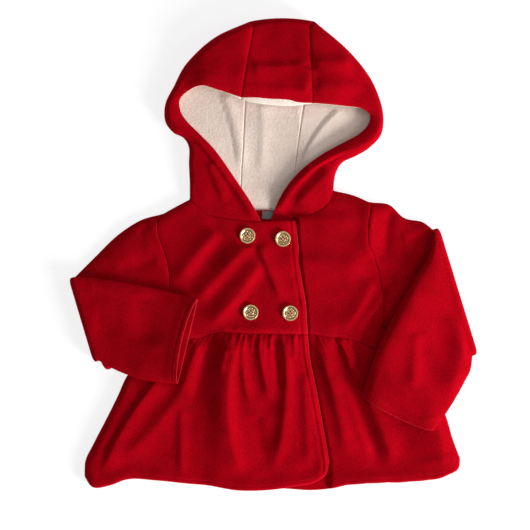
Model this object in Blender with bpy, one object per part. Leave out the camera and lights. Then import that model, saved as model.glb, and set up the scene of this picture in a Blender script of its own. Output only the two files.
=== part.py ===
"""A small child's hooded fleece jacket, laid flat with both sleeves folded over its body.

Every piece of cloth is a closed wall, worked out in millimetres from the sizes and tables below.
x runs across the jacket, y from hem to hood, z up from the surface that the jacket lies on.
Left and right are those of someone who looks down on it.
"""
import math

import bpy
import bmesh
import numpy as np
from mathutils import Vector
from mathutils.bvhtree import BVHTree

MM = 0.001

# Cloth and how it is stacked
FLEECE = 2.2            # thickness of the red fleece
PILE_LINING = 1.8       # thickness of the cream hood lining
SEAM = 0.3              # room between two pieces that are sewn together
SEAM_STEP = 0.55        # the same, across a seam whose two edges bend differently
OVER = 0.6              # room between a flat layer and the one that laps over it
DRAPE = 1.0             # room under a sleeve that lies over folds

# How full the cloth lies
BODY_LOFT = 6.0         # rise of the fronts above a flat stack
BODY_ROLL = 20.0        # width over which the fronts roll down to their outline
LAP_RISE = 26.0         # width over which the under front rises beside the lap
LAP_CLIMB = 12.0        # width over which the over front climbs the under front's edge
LAP_REST = 14.0         # width over which the over front settles along its own edge
LAP_LOW = 0.25          # share of its fullness that is left at that edge
LAP_CLEAR = 1.5         # the under front starts to rise this far beside the lap
LAP_LEAD = 3.0          # the climb ends this far before the under front's edge
LAP_SPARE = 1.0         # fullness that the climb takes up
WAIST_DIP = 3.0         # the waist seam lies this much lower than the cloth beside it
WAIST_WIDTH = 9.0
HEM_ROLL = 14.0

# Buttons
BUTTON_RADIUS = 9.5
BUTTON_THICK = 3.0
BUTTON_RIM = 1.5
BUTTON_DISH = 1.1
BUTTON_ROUND = 0.8      # rounding of the outer edges
BUTTON_SLOPE = 1.2      # width of the slope from the rim down to the dish
BUTTON_SIDES = 20
BUTTON_PLACES = ((-32, 24), (12, 20), (-28, -71), (21, -72))

# Neck label
LABEL_LEFT, LABEL_RIGHT = -14.0, 8.0
LABEL_BOTTOM, LABEL_TOP = 45.0, 55.0
LABEL_THICK = 1.0

# How finely the cloth is divided
ARM_ACROSS = 9
HOOD_ROWS = 15
HOOD_TOP, HOOD_TURN, HOOD_FLOOR = 6, 6, 3
STRIP_ACROSS = 5
BODICE_DOWN_SIDE = 3
SKIRT_DOWN = 11
SKIRT_ACROSS_OVER, SKIRT_ACROSS_UNDER = 30, 24
WAIST_STEPS_OVER, WAIST_STEPS_UNDER = 8, 6
HEM_STEPS, OUTLINE_STEPS = 16, 10

# Seams and edges of the body, each a smooth run of (x, y)
NECK_LEFT = ((-104, 70), (-95, 60), (-83, 52), (-64, 47), (-41, 44), (-15, 42))
NECK_RIGHT = ((75, 81), (71, 69), (60, 58), (42, 50), (21, 46), (-4, 43))
SHOULDER_LEFT = ((-139, 51), (-123, 60), (-104, 70))
SHOULDER_RIGHT = ((121, 66), (100, 75), (75, 81))
ARMHOLE_LEFT = ((-139, 51), (-144, 34), (-139, 14), (-132, -6), (-129, -30), (-129, -60))
ARMHOLE_RIGHT = ((121, 66), (118, 40), (118, 15), (127, -8), (134, -40), (137, -90))
SIDE_LEFT = ((-129, -60), (-138, -85), (-144, -109))
SIDE_RIGHT = ((137, -90), (136, -104), (136, -119))
WAIST_OVER = ((-144, -109), (-110, -107), (-88, -102), (-70, -97), (-45, -97), (-4, -98), (43, -99))
WAIST_UNDER = ((-50, -98), (20, -98), (48, -99), (71, -102), (91, -104), (112, -111), (136, -119))
FRONT_EDGE = ((29, 43), (33, -6), (37, -37), (41, -62), (42, -80), (43, -99))
FRONT_EDGE_SKIRT = ((43, -99), (46, -128), (54, -168), (61, -207), (66, -234), (70, -258))
UNDER_EDGE = ((-49, 42), (-50, -98))
UNDER_EDGE_SKIRT = ((-50, -98), (-62, -284))
OUTLINE_LEFT = ((-144, -109), (-163, -127), (-182, -150), (-194, -176), (-210, -208), (-225, -237),
                (-234, -256), (-235, -276))
OUTLINE_RIGHT = ((136, -119), (165, -142), (192, -168), (212, -193), (217, -206), (222, -224),
                 (228, -241), (233, -254))
HEM_OVER = ((-235, -276), (-226, -289), (-203, -287), (-184, -280), (-145, -281), (-106, -285),
            (-81, -287), (-43, -293), (-16, -293), (27, -288), (54, -282), (66, -273), (70, -258))
HEM_UNDER = ((-62, -284), (-30, -289), (14, -291), (50, -293), (71, -291), (89, -287), (124, -284),
             (172, -282), (215, -275), (231, -265), (233, -254))

# Soft folds: each runs from one point to another, bowed sideways by bow, and stands up by rise
FOLD_COLUMNS = ("x0", "y0", "x1", "y1", "bow", "width0", "width1", "rise")
FOLD_PAST = 0.04        # share of its length by which a fold runs on past each end
FOLD_IN, FOLD_OUT = 0.14, 0.25  # shares over which it comes up and dies away
CHEST_FOLDS = (
    (-74, 42, -116, -12, 0, 9, 12, -3.0),
    (-47, 23, -116, -26, 3, 9, 11, 2.5),
    (-43, 14, -104, -48, -4, 9, 11, -3.0),
    (-24, 6, -84, -58, 0, 9, 11, 3.0),
    (-19, 12, 4, -56, 3, 9, 10, -2.5),
    (-17, -8, -22, -60, 2, 7, 9, 2.0),
    (92, 40, 84, -70, 5, 12, 14, -2.0),
    (70, 30, 64, -80, 3, 10, 13, 1.5),
    (112, 40, 112, -20, 3, 8, 9, 2.0),
)
OVER_SKIRT_FOLDS = (
    (-181, -155, -229, -268, 0, 7, 8, 1.5),
    (-148, -140, -218, -269, -5, 8, 7, -4.0),
    (-133, -140, -206, -258, 0, 8, 9, 3.5),
    (-120, -135, -190, -255, 0, 8, 8, -4.0),
    (-100, -150, -178, -266, 0, 8, 10, 3.0),
    (-119, -200, -154, -255, 0, 7, 8, -3.0),
    (-88, -108, -111, -282, -10, 7, 11, 6.0),
    (-76, -101, -86, -128, 0, 4, 5, -3.0),
    (-64, -101, -103, -270, -10, 9, 13, -5.0),
    (-51, -100, -55, -122, 0, 4, 5, 2.5),
    (-82, -205, -82, -284, 0, 9, 11, 2.0),
    (-66, -200, -58, -272, 0, 9, 11, -2.0),
    (-41, -100, -14, -286, -21, 6, 13, 6.0),
    (-38, -104, -28, -180, -5, 5, 8, -4.0),
    (-31, -100, -21, -168, 0, 5, 7, 4.0),
    (-18, -100, -18, -150, 0, 5, 8, -4.0),
    (-10, -100, 4, -184, 0, 5, 9, 4.0),
    (1, -100, 15, -170, 0, 5, 8, -4.0),
    (14, -101, 20, -130, 0, 5, 6, 2.5),
    (22, -112, 8, -276, 8, 8, 14, 4.0),
    (33, -150, 29, -236, 0, 7, 8, -3.0),
)
UNDER_SKIRT_FOLDS = (
    (54, -103, 88, -246, 0, 6, 9, -3.5),
    (60, -104, 103, -278, 0, 6, 9, 4.0),
    (69, -118, 124, -276, 0, 7, 10, 4.0),
    (79, -106, 142, -262, 0, 6, 9, -5.0),
    (88, -107, 106, -150, 0, 5, 6, 3.0),
    (118, -170, 160, -272, 0, 9, 13, 5.0),
    (97, -108, 110, -150, 0, 4, 6, -3.0),
    (107, -112, 120, -160, 0, 5, 6, 3.0),
    (186, -200, 194, -272, 0, 13, 15, -4.0),
    (208, -196, 224, -262, 0, 8, 8, 2.0),
)
HOOD_FOLDS = (
    (-104, 236, 98, 238, 8, 9, 9, -4.0),
    (-70, 224, 60, 227, 4, 8, 8, 2.5),
    (52, 214, 112, 212, 0, 7, 7, -3.0),
    (-92, 132, -46, 84, -4, 7, 7, -2.5),
    (82, 116, 12, 60, 6, 7, 7, 2.5),
)
LINING_FOLDS = (
    (-78, 190, -58, 112, -2, 9, 8, 3.0),
    (88, 172, 44, 112, -3, 9, 8, 3.0),
)

# Hood sides, from the neck seam (first row) to the crown seam (last row): the front rim, the outline
# where the hood turns under, the back seam on the floor side, and the height at the turn and the rim
HOOD_COLUMNS = ("along", "rim_x", "rim_y", "edge_x", "edge_y", "seam_x", "seam_y", "turn", "rim")
HOOD_LEFT = (
    (0.00, -15, 42, -104, 70, -42, 58, 10.5, 10.5),
    (0.12, -28, 66, -104, 92, -41, 78, 13, 12),
    (0.24, -48, 96, -105, 114, -40, 104, 14, 13),
    (0.35, -72, 130, -105, 134, -38, 130, 14, 14),
    (0.45, -92, 151, -112, 146, -37, 152, 14, 14),
    (0.54, -107, 166, -125, 153, -36, 174, 14, 14),
    (0.63, -115, 179, -135, 169, -35, 192, 14, 14),
    (0.70, -116, 192, -134, 189, -34, 206, 15, 15),
    (0.77, -107, 202, -124, 209, -33, 222, 17, 17),
    (0.85, -89, 209, -107, 239, -32, 238, 19, 17),
    (0.93, -66, 203, -71, 271, -31, 256, 21, 18),
    (1.00, -40, 195, -29, 290, -30, 268, 21, 18),
)
HOOD_RIGHT = (
    (0.00, -4, 43, 75, 81, 22, 58, 10.5, 10.5),
    (0.12, 12, 78, 76, 93, 24, 78, 13, 12),
    (0.24, 34, 105, 79, 105, 27, 104, 14, 13),
    (0.35, 62, 126, 87, 116, 30, 130, 14, 14),
    (0.45, 88, 140, 104, 124, 33, 152, 14, 14),
    (0.54, 106, 150, 120, 134, 36, 174, 14, 14),
    (0.63, 118, 163, 135, 152, 39, 192, 14, 14),
    (0.70, 119, 175, 137, 173, 42, 206, 15, 15),
    (0.77, 107, 182, 132, 195, 45, 222, 17, 17),
    (0.85, 91, 184, 118, 224, 48, 238, 19, 17),
    (0.93, 71, 186, 90, 257, 50, 256, 21, 18),
    (1.00, 49, 188, 51, 290, 51, 268, 21, 18),
)
CROWN_BULGE = 4.0       # the hood centre bows out this much past its two seams at the top
RIM_BOW = 1.5           # and its rim this much towards the neck
NECK_FADE = 0.3         # share of a hood side over which its rows follow the curved neck seam
LINING_FADE = 3.0       # the lining's folds fade out over this height as the hood turns up

# Sleeves, as they are seen: the upper edge, the lower edge and the height of the flattened tube.
# The last row of an upper arm and the first of a forearm lie on the elbow's fold line.
ARM_COLUMNS = ("along", "up_x", "up_y", "low_x", "low_y", "height")
UPPER_ARM_LEFT = (
    (0.00, -139, 51, -129, -60, 10.7),
    (0.22, -164, 44, -152, -76, 9.5),
    (0.48, -194, 25, -176, -104, 8.4),
    (0.74, -222, -2, -194, -135, 7.5),
    (0.90, -238, -18, -209, -142, 7.0),
    (1.00, -247, -27, -216, -131, 7.0),
)
FOREARM_LEFT = (
    (0.00, -247, -27, -216, -131, 7.0),
    (0.14, -228, -28, -204, -138, 7.2),
    (0.35, -197, -32, -184, -147, 8.5),
    (0.60, -158, -39, -156, -155, 9.5),
    (0.80, -126, -46, -138, -157, 10.5),
    (1.00, -93, -54, -118, -159, 12.0),
)
UPPER_ARM_RIGHT = (
    (0.00, 121, 66, 137, -90, 10.7),
    (0.26, 146, 62, 160, -100, 9.5),
    (0.45, 161, 48, 184, -110, 8.5),
    (0.78, 187, 41, 222, -124, 7.3),
    (1.00, 199, 32, 247, -125, 7.0),
)
FOREARM_RIGHT = (
    (0.00, 199, 32, 247, -125, 7.0),
    (0.12, 196, 9, 245, -140, 7.2),
    (0.32, 178, -24, 237, -157, 8.5),
    (0.56, 150, -72, 224, -180, 9.5),
    (0.78, 128, -118, 211, -199, 10.2),
    (1.00, 109, -174, 197, -217, 10.2),
)
ELBOW_ROOM = 0.9        # half the room between the two layers of a folded sleeve
ARM_TOP_ROLL = 20.0     # width of the rolled edge on a sleeve's upper side
ARM_FLOOR_ROLL = 6.0    # and on its lower side
CUFF_RECESS_LEFT = 14.0  # the nearer cuff edge stands back this far in its middle
CUFF_RECESS_RIGHT = -5.0
CUFF_FADE = (1.0, 0.7, 0.35)    # share of that recess at the cuff and at each row before it
DRAPE_SPREAD = 7.0      # a folded sleeve clears what is under it within this distance
DRAPE_PASSES = 30       # how far its rise over that spreads along it
UPPER_ROWS, ELBOW_ROWS, FOREARM_ROWS = 7, 7, 9

RED = (0.42, 0.005, 0.018)
CREAM = (0.80, 0.70, 0.60)
GOLD = (0.72, 0.47, 0.20)
GREY = (0.45, 0.42, 0.40)


def clear_scene():
    for old in list(bpy.data.objects):
        bpy.data.objects.remove(old, do_unlink=True)


def material(name, colour, roughness, metallic=0.0):
    made = bpy.data.materials.new(name)
    made.use_nodes = True
    shader = made.node_tree.nodes["Principled BSDF"]
    shader.inputs["Base Color"].default_value = (*colour, 1.0)
    shader.inputs["Roughness"].default_value = roughness
    shader.inputs["Metallic"].default_value = metallic
    return made


# Curves and tables

def smooth_at(knots, values, places):
    """Values at the given places on a smooth curve through the rows of values."""
    slopes = np.gradient(values, knots, axis=0)
    left = np.clip(np.searchsorted(knots, places, side="right") - 1, 0, len(knots) - 2)
    step = knots[left + 1] - knots[left]
    u = ((places - knots[left]) / step)[:, None]
    step = step[:, None]
    start = (2 * u**3 - 3 * u**2 + 1) * values[left] + (u**3 - 2 * u**2 + u) * step * slopes[left]
    end = (3 * u**2 - 2 * u**3) * values[left + 1] + (u**3 - u**2) * step * slopes[left + 1]
    return start + end


def along(path, places):
    """Points at fractions 0 to 1 of the length of a smooth curve through the path."""
    points = np.array(path, float)
    steps = np.linalg.norm(np.diff(points, axis=0), axis=1)
    knots = np.concatenate(([0.0], np.cumsum(steps)))
    return smooth_at(knots, points, np.asarray(places, float) * knots[-1])


def evenly(path, count):
    return along(path, np.linspace(0, 1, count + 1))


def read(columns, rows, places):
    """Each named column of a table at the given places of its first column."""
    values = np.array(rows, float)
    smooth = smooth_at(values[:, 0], values, np.asarray(places, float))
    return {name: smooth[:, index] for index, name in enumerate(columns)}


def roll(distance, width):
    """0 at an edge, 1 beyond width, a quarter of an ellipse between."""
    inside = np.clip(np.asarray(distance) / width, 0, 1)
    return np.sqrt(1 - (1 - inside)**2)


def ease(value):
    inside = np.clip(value, 0, 1)
    return inside * inside * (3 - 2 * inside)


def gap_to(path, x, y):
    """Distance in plan from the points x, y to a smooth path."""
    dense = evenly(path, 120)
    return np.sqrt((x[..., None] - dense[:, 0])**2 + (y[..., None] - dense[:, 1])**2).min(axis=-1)


def fold_rise(folds, x, y):
    """How far a table of soft folds lifts the cloth at x, y."""
    rise = np.zeros_like(x)
    for row in folds:
        fold = dict(zip(FOLD_COLUMNS, row))
        run = np.array((fold["x1"] - fold["x0"], fold["y1"] - fold["y0"]), float)
        length = np.linalg.norm(run)
        ahead = run / length
        dx, dy = x - fold["x0"], y - fold["y0"]
        place = (dx * ahead[0] + dy * ahead[1]) / length
        inside = np.clip(place, 0, 1)
        aside = dy * ahead[0] - dx * ahead[1] - fold["bow"] * 4 * inside * (1 - inside)
        width = fold["width0"] + (fold["width1"] - fold["width0"]) * inside
        fade = ease((place + FOLD_PAST) / FOLD_IN) * ease((1 + FOLD_PAST - place) / FOLD_OUT)
        rise = rise + fold["rise"] * np.exp(-(aside / width)**2) * fade
    return rise


def soft_floor(value, bend=1.2):
    """Positive part of value, with a soft corner of the given size."""
    return 0.5 * (value + np.sqrt(value * value + bend * bend)) - 0.25 * bend


# Solids

def solid(name, vertices, faces, paint, smooth=True):
    mesh = bpy.data.meshes.new(name)
    mesh.from_pydata([tuple(float(c) * MM for c in v) for v in vertices], [], faces)
    shape = bmesh.new()
    shape.from_mesh(mesh)
    bmesh.ops.recalc_face_normals(shape, faces=shape.faces)
    shape.to_mesh(mesh)
    shape.free()
    if smooth:
        mesh.shade_smooth()
        mesh.set_sharp_from_angle(angle=math.radians(50))
    mesh.materials.append(paint)
    made = bpy.data.objects.new(name, mesh)
    bpy.context.scene.collection.objects.link(made)
    return made


def wall(name, outer, inner, paint, ring=False):
    """Closed wall between two grids of points; with ring the columns run round a tube."""
    rows, columns = outer.shape[:2]
    vertices = np.concatenate((outer.reshape(-1, 3), inner.reshape(-1, 3)))
    inside = rows * columns
    last = columns if ring else columns - 1

    def corner(row, column):
        return row * columns + column % columns

    faces = []
    for row in range(rows - 1):
        for column in range(last):
            a, b = corner(row, column), corner(row, column + 1)
            c, d = corner(row + 1, column + 1), corner(row + 1, column)
            faces += [(a, b, c), (a, c, d)]
            faces += [(inside + c, inside + b, inside + a), (inside + d, inside + c, inside + a)]
    rim = [[(corner(0, k), corner(0, k + 1)) for k in range(last)],
           [(corner(rows - 1, k + 1), corner(rows - 1, k)) for k in range(last)]]
    if not ring:
        rim.append([(corner(k + 1, 0), corner(k, 0)) for k in range(rows - 1)])
        rim.append([(corner(k, last), corner(k + 1, last)) for k in range(rows - 1)])
    for side in rim:
        for a, b in side:
            faces += [(b, a, inside + a), (b, inside + a, inside + b)]
    return solid(name, vertices, faces, paint)


def flat_piece(name, outline, bottom, top, paint):
    """Flat cloth of any outline."""
    count = len(outline)
    vertices = [(x, y, bottom) for x, y in outline] + [(x, y, top) for x, y in outline]
    faces = [tuple(range(count))[::-1], tuple(range(count, 2 * count))]
    for k in range(count):
        after = (k + 1) % count
        faces.append((k, after, count + after, count + k))
    return solid(name, vertices, faces, paint, smooth=False)


def patch(top, bottom, left, right):
    """Grid of plan points between four edges; the rows run from top to bottom."""
    u = np.linspace(0, 1, len(top))
    v = np.linspace(0, 1, len(left))
    across = (1 - v)[:, None, None] * top[None] + v[:, None, None] * bottom[None]
    down = (1 - u)[None, :, None] * left[:, None] + u[None, :, None] * right[:, None]
    corners = ((1 - v)[:, None, None] * ((1 - u)[None, :, None] * top[0] + u[None, :, None] * top[-1])
               + v[:, None, None] * ((1 - u)[None, :, None] * bottom[0]
                                     + u[None, :, None] * bottom[-1]))
    return across + down - corners


def panel(name, plan, top, paint):
    """A wall whose upper side has the height top(x, y), one cloth thick."""
    x, y = plan[..., 0], plan[..., 1]
    height = top(x, y)
    outer = np.dstack((x, y, height))
    inner = np.dstack((x, y, height - FLEECE))
    return wall(name, outer, inner, paint)


def surface_below(objects):
    """A function that gives the highest cloth of these objects under a point, or the floor."""
    vertices, faces = [], []
    for piece in objects:
        start = len(vertices)
        vertices += [v.co / MM for v in piece.data.vertices]
        faces += [[start + k for k in face.vertices] for face in piece.data.polygons]
    tree = BVHTree.FromPolygons(vertices, faces)

    def height(x, y):
        hit = tree.ray_cast(Vector((x, y, 500.0)), Vector((0, 0, -1)))
        return hit[0].z if hit[0] is not None else 0.0

    return height


def arm_shares():
    """Fractions across a flattened sleeve, closer together at its two edges."""
    return 0.5 - 0.5 * np.cos(math.pi * np.linspace(0, 1, ARM_ACROSS + 1))


# Fronts and back

def edge_position(path, y):
    """x of a roughly upright path at height y."""
    dense = evenly(path, 160)
    order = np.argsort(dense[:, 1])
    return np.interp(y, dense[order, 1], dense[order, 0])


def lap_edge(y):
    return edge_position(FRONT_EDGE + FRONT_EDGE_SKIRT[1:], y)


def under_edge(y):
    return edge_position(UNDER_EDGE + UNDER_EDGE_SKIRT[1:], y)


def waist_dip(x, y):
    return -WAIST_DIP * np.exp(-(gap_to(WAIST_OVER + WAIST_UNDER[3:], x, y) / WAIST_WIDTH)**2)


def under_top(x, y):
    """Height of the under front: flat below the lap, full beside it."""
    edge = roll(gap_to(SHOULDER_RIGHT, x, y), BODY_ROLL)
    edge = edge * roll(gap_to(SIDE_RIGHT + OUTLINE_RIGHT[1:], x, y), BODY_ROLL)
    edge = edge * roll(gap_to(HEM_UNDER, x, y), HEM_ROLL)
    beside = ease((x - lap_edge(y) - LAP_CLEAR) / LAP_RISE)
    folds = fold_rise(CHEST_FOLDS + UNDER_SKIRT_FOLDS, x, y) + waist_dip(x, y)
    full = soft_floor(BODY_LOFT * edge + folds * np.sqrt(edge))
    return FLEECE + SEAM + FLEECE + beside * full


def over_top(x, y):
    """Height of the over front, which climbs on the under front and rests along its edge."""
    edge = roll(gap_to(SHOULDER_LEFT, x, y), BODY_ROLL)
    edge = edge * roll(gap_to(SIDE_LEFT + OUTLINE_LEFT[1:], x, y), BODY_ROLL)
    edge = edge * roll(gap_to(HEM_OVER, x, y), HEM_ROLL)
    climb = ease((x - under_edge(y) + LAP_CLIMB + LAP_LEAD) / LAP_CLIMB)
    rest = LAP_LOW + (1 - LAP_LOW) * ease((lap_edge(y) - x) / LAP_REST)
    folds = fold_rise(CHEST_FOLDS + OVER_SKIRT_FOLDS, x, y) + waist_dip(x, y)
    full = soft_floor((BODY_LOFT - LAP_SPARE * climb) * edge * rest + folds * np.sqrt(edge) * rest)
    return FLEECE + SEAM + FLEECE + climb * (FLEECE + OVER) + full


def shifted(points, dx, dy):
    return np.asarray(points, float) + np.array((dx, dy))


def joined(*runs):
    """One run of points from several, each starting where the one before ends."""
    return np.concatenate([runs[0]] + [run[1:] for run in runs[1:]])


def back_waist(shift):
    """The whole waist line of the back, moved up or down by shift."""
    return shifted(joined(evenly(WAIST_OVER, WAIST_STEPS_OVER),
                          evenly(WAIST_UNDER[2:], WAIST_STEPS_UNDER)), 0, shift)


def build_bodice(red, hood_left, hood_right):
    """Back and two fronts between the shoulders and the waist seam."""
    arm_left, arm_right = along(ARMHOLE_LEFT, arm_shares()), along(ARMHOLE_RIGHT, arm_shares())
    side_left, side_right = (evenly(path, BODICE_DOWN_SIDE) for path in (SIDE_LEFT, SIDE_RIGHT))
    shoulder_left, shoulder_right = evenly(SHOULDER_LEFT, 3), evenly(SHOULDER_RIGHT, 3)
    down = ARM_ACROSS + BODICE_DOWN_SIDE

    left = joined(arm_left, side_left)
    right = joined(arm_right, side_right)
    neck = joined(shoulder_left, hood_left["neck_top"], evenly(((-15, 42), (2, 43), (29, 43)), 3))
    neck = shifted(neck, 0, -SEAM_STEP)
    waist = shifted(evenly(WAIST_OVER, len(neck) - 1), 0, SEAM)
    edge = evenly(FRONT_EDGE, down)
    left[0], left[-1], edge[0], edge[-1] = neck[0], waist[0], neck[-1], waist[-1]
    over = panel("front_over_bodice", patch(neck, waist, left, edge), over_top, red)

    neck = joined(evenly(((-49, 42), (-20, 42), (-4, 43)), 2), hood_right["neck_top"][::-1],
                  shoulder_right[::-1])
    neck = shifted(neck, 0, -SEAM_STEP)
    waist = shifted(evenly(WAIST_UNDER, len(neck) - 1), 0, SEAM)
    edge = evenly(UNDER_EDGE, down)
    right[0], right[-1], edge[0], edge[-1] = neck[-1], waist[-1], neck[0], waist[0]
    under = panel("front_under_bodice", patch(neck, waist, edge, right), under_top, red)

    neck = joined(shoulder_left, hood_left["neck_floor"], hood_left["strip_end"],
                  hood_right["neck_floor"][::-1], shoulder_right[::-1])
    neck = shifted(neck, 0, -SEAM)
    back = joined(neck, right, back_waist(SEAM)[::-1], left[::-1])[:-1]
    flat_piece("back_bodice", back, 0.0, FLEECE, red)
    return over, under


def build_skirt(red):
    """Gathered skirt: a flat back and two fronts, from the waist seam to the hem."""
    top = shifted(evenly(WAIST_OVER, SKIRT_ACROSS_OVER), 0, -SEAM)
    bottom = evenly(HEM_OVER, SKIRT_ACROSS_OVER)
    left, right = evenly(OUTLINE_LEFT, SKIRT_DOWN), evenly(FRONT_EDGE_SKIRT, SKIRT_DOWN)
    left[0], right[0] = top[0], top[-1]
    over = panel("front_over_skirt", patch(top, bottom, left, right), over_top, red)

    top = shifted(evenly(WAIST_UNDER, SKIRT_ACROSS_UNDER), 0, -SEAM)
    bottom = evenly(HEM_UNDER, SKIRT_ACROSS_UNDER)
    left, right = evenly(UNDER_EDGE_SKIRT, SKIRT_DOWN), evenly(OUTLINE_RIGHT, SKIRT_DOWN)
    left[0], right[0] = top[0], top[-1]
    under = panel("front_under_skirt", patch(top, bottom, left, right), under_top, red)

    hem = joined(evenly(HEM_OVER[:9], HEM_STEPS), evenly(HEM_OVER[8:9] + HEM_UNDER[2:], HEM_STEPS))
    sides = [evenly(path, OUTLINE_STEPS) for path in (OUTLINE_RIGHT, OUTLINE_LEFT)]
    back = joined(back_waist(-SEAM), sides[0], hem[::-1], sides[1][::-1])[:-1]
    flat_piece("back_skirt", back, 0.0, FLEECE, red)
    return over, under


# Hood

def hood_side_grid(rows, neck):
    """Points of a hood side, row by row from the neck seam to the crown seam.

    A row starts at the front rim, crosses the upper layer, turns under at the outline and
    runs over the floor to the back seam.
    """
    places = np.linspace(0, 1, HOOD_ROWS + 1)
    sizes = read(HOOD_COLUMNS, rows, places)
    rim = np.stack((sizes["rim_x"], sizes["rim_y"]), axis=1)
    edge = np.stack((sizes["edge_x"], sizes["edge_y"]), axis=1)
    seam = np.stack((sizes["seam_x"], sizes["seam_y"]), axis=1)
    tangent = np.gradient(edge, axis=0)
    inward = np.stack((-tangent[:, 1], tangent[:, 0]), axis=1)
    inward *= np.sign(((seam - edge) * inward).sum(axis=1))[:, None]
    inward /= np.linalg.norm(inward, axis=1)[:, None]
    chord = np.array(neck[0], float) + np.linspace(0, 1, 41)[:, None] * (
        np.array(neck[-1], float) - np.array(neck[0], float))
    dip = evenly(neck, 40) - chord
    grid = []
    for row, place in enumerate(places):
        radius = sizes["turn"][row] / 2
        start = edge[row] + inward[row] * radius
        points = []
        for step in np.linspace(0, 1, HOOD_TOP + 1)[:-1]:
            spot = rim[row] + (start - rim[row]) * step
            height = sizes["rim"][row] + (sizes["turn"][row] - sizes["rim"][row]) * ease(step)
            points.append((*spot, height))
        for angle in np.linspace(math.pi / 2, -math.pi / 2, HOOD_TURN + 1):
            spot = edge[row] + inward[row] * radius * (1 - math.cos(angle))
            points.append((*spot, radius + radius * math.sin(angle)))
        for step in np.linspace(0, 1, HOOD_FLOOR + 1)[1:]:
            points.append((*(start + (seam[row] - start) * step), 0.0))
        points = np.array(points)
        fade = ease(1 - place / NECK_FADE)
        over = np.linspace(1, 0, HOOD_TOP + 1)
        sag = np.stack([np.interp(over, np.linspace(0, 1, 41), dip[:, k]) for k in (0, 1)], axis=1)
        points[:HOOD_TOP + 1, :2] += sag * fade
        upper = ease((points[:, 2] / sizes["turn"][row] - 0.5) / 0.4)
        points[:, 2] += fold_rise(HOOD_FOLDS, points[:, 0], points[:, 1]) * upper
        grid.append(points)
    return np.array(grid)


def normals_of(grid):
    """Unit normals of a grid of points, towards its outer side (down on the floor)."""
    down = np.gradient(grid, axis=0)
    across = np.gradient(grid, axis=1)
    normals = np.cross(down, across)
    normals /= np.linalg.norm(normals, axis=2)[..., None]
    floor = grid[..., 2] < 0.01
    if normals[floor][:, 2].mean() > 0:
        normals = -normals
    normals[floor] = (0, 0, -1)
    return normals


def seam_run(grid):
    """The crown seam of a hood side: its last row, then its last column down to the neck."""
    return np.concatenate((grid[-1], grid[-2::-1, -1]))


def put_seam_run(grid, run):
    """Put a crown seam's points back where seam_run took them from."""
    columns = grid.shape[1]
    grid[-1] = run[:columns]
    grid[-2::-1, -1] = run[columns:]


def strip_grid(left, right):
    """Points of the hood centre between its two seams, from the rim over the top to the neck."""
    share = np.linspace(0, 1, STRIP_ACROSS + 1)[None, :, None]
    inset = np.array((SEAM_STEP, 0, 0))
    strip = (left + inset)[:, None] * (1 - share) + (right - inset)[:, None] * share
    bow = 4 * share[0, :, 0] * (1 - share[0, :, 0])
    height = (left[:, 1] + right[:, 1]) / 2
    crown = ease((height - height[0]) / (height.max() - height[0]))
    rim = np.zeros(len(left))
    rim[:HOOD_TOP] = 1 - np.linspace(0, 1, HOOD_TOP)
    strip[..., 1] += crown[:, None] * CROWN_BULGE * bow[None] - rim[:, None] * RIM_BOW * bow[None]
    return strip


def set_back(grid, normals, depth):
    return grid - normals * depth


def build_hood(red, cream):
    grids = {"left": hood_side_grid(HOOD_LEFT, NECK_LEFT)}
    grids["right"] = hood_side_grid(HOOD_RIGHT, NECK_RIGHT)
    strip = strip_grid(seam_run(grids["left"]), seam_run(grids["right"]))
    strip_normals = normals_of(strip)
    strip_normals[-1] = (0, 0, -1)
    normals = {}
    for side, column in (("left", 0), ("right", -1)):
        own = normals_of(grids[side])
        own[0, :, 1] = 0
        own[0] /= np.linalg.norm(own[0], axis=1)[:, None]
        shared = seam_run(own) + strip_normals[:, column]
        shared /= np.linalg.norm(shared, axis=1)[:, None]
        put_seam_run(own, shared)
        strip_normals[:, column] = shared
        normals[side] = own
    grids["centre"], normals["centre"] = strip, strip_normals

    near, far = FLEECE + SEAM, FLEECE + SEAM + PILE_LINING
    for side in ("left", "centre", "right"):
        grid, facing = grids[side], normals[side]
        name = "hood_centre" if side == "centre" else "hood_side_" + side
        wall(name, grid, set_back(grid, facing, FLEECE), red)
        name = "lining_centre" if side == "centre" else "lining_side_" + side
        outer, inner = set_back(grid, facing, near), set_back(grid, facing, far)
        floor = ease(1 - grid[..., 2] / LINING_FADE)
        lift = soft_floor(fold_rise(LINING_FOLDS, grid[..., 0], grid[..., 1])) - soft_floor(0.0)
        lift = np.maximum(lift, 0) * floor
        outer[..., 2] += lift
        inner[..., 2] += lift
        wall(name, outer, inner, cream)

    turn = HOOD_TOP + HOOD_TURN // 2
    left, right = grids["left"][0, :, :2], grids["right"][0, :, :2]
    strip_end = np.concatenate((left[-1:], strip[-1, :, :2], right[-1:]))
    return ({"neck_top": left[:turn + 1][::-1], "neck_floor": left[turn:], "strip_end": strip_end},
            {"neck_top": right[:turn + 1][::-1], "neck_floor": right[turn:]})


# Sleeves

def elbow_frame(upper):
    """Start of an elbow's fold line, its direction, and the level direction out past it."""
    last = dict(zip(ARM_COLUMNS, upper[-1]))
    first = dict(zip(ARM_COLUMNS, upper[0]))
    start = np.array((last["up_x"], last["up_y"]), float)
    line = np.array((last["low_x"], last["low_y"]), float) - start
    line /= np.linalg.norm(line)
    out = np.array((-line[1], line[0]))
    if out @ (start - np.array((first["up_x"], first["up_y"]))) < 0:
        out = -out
    return start, line, out


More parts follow.
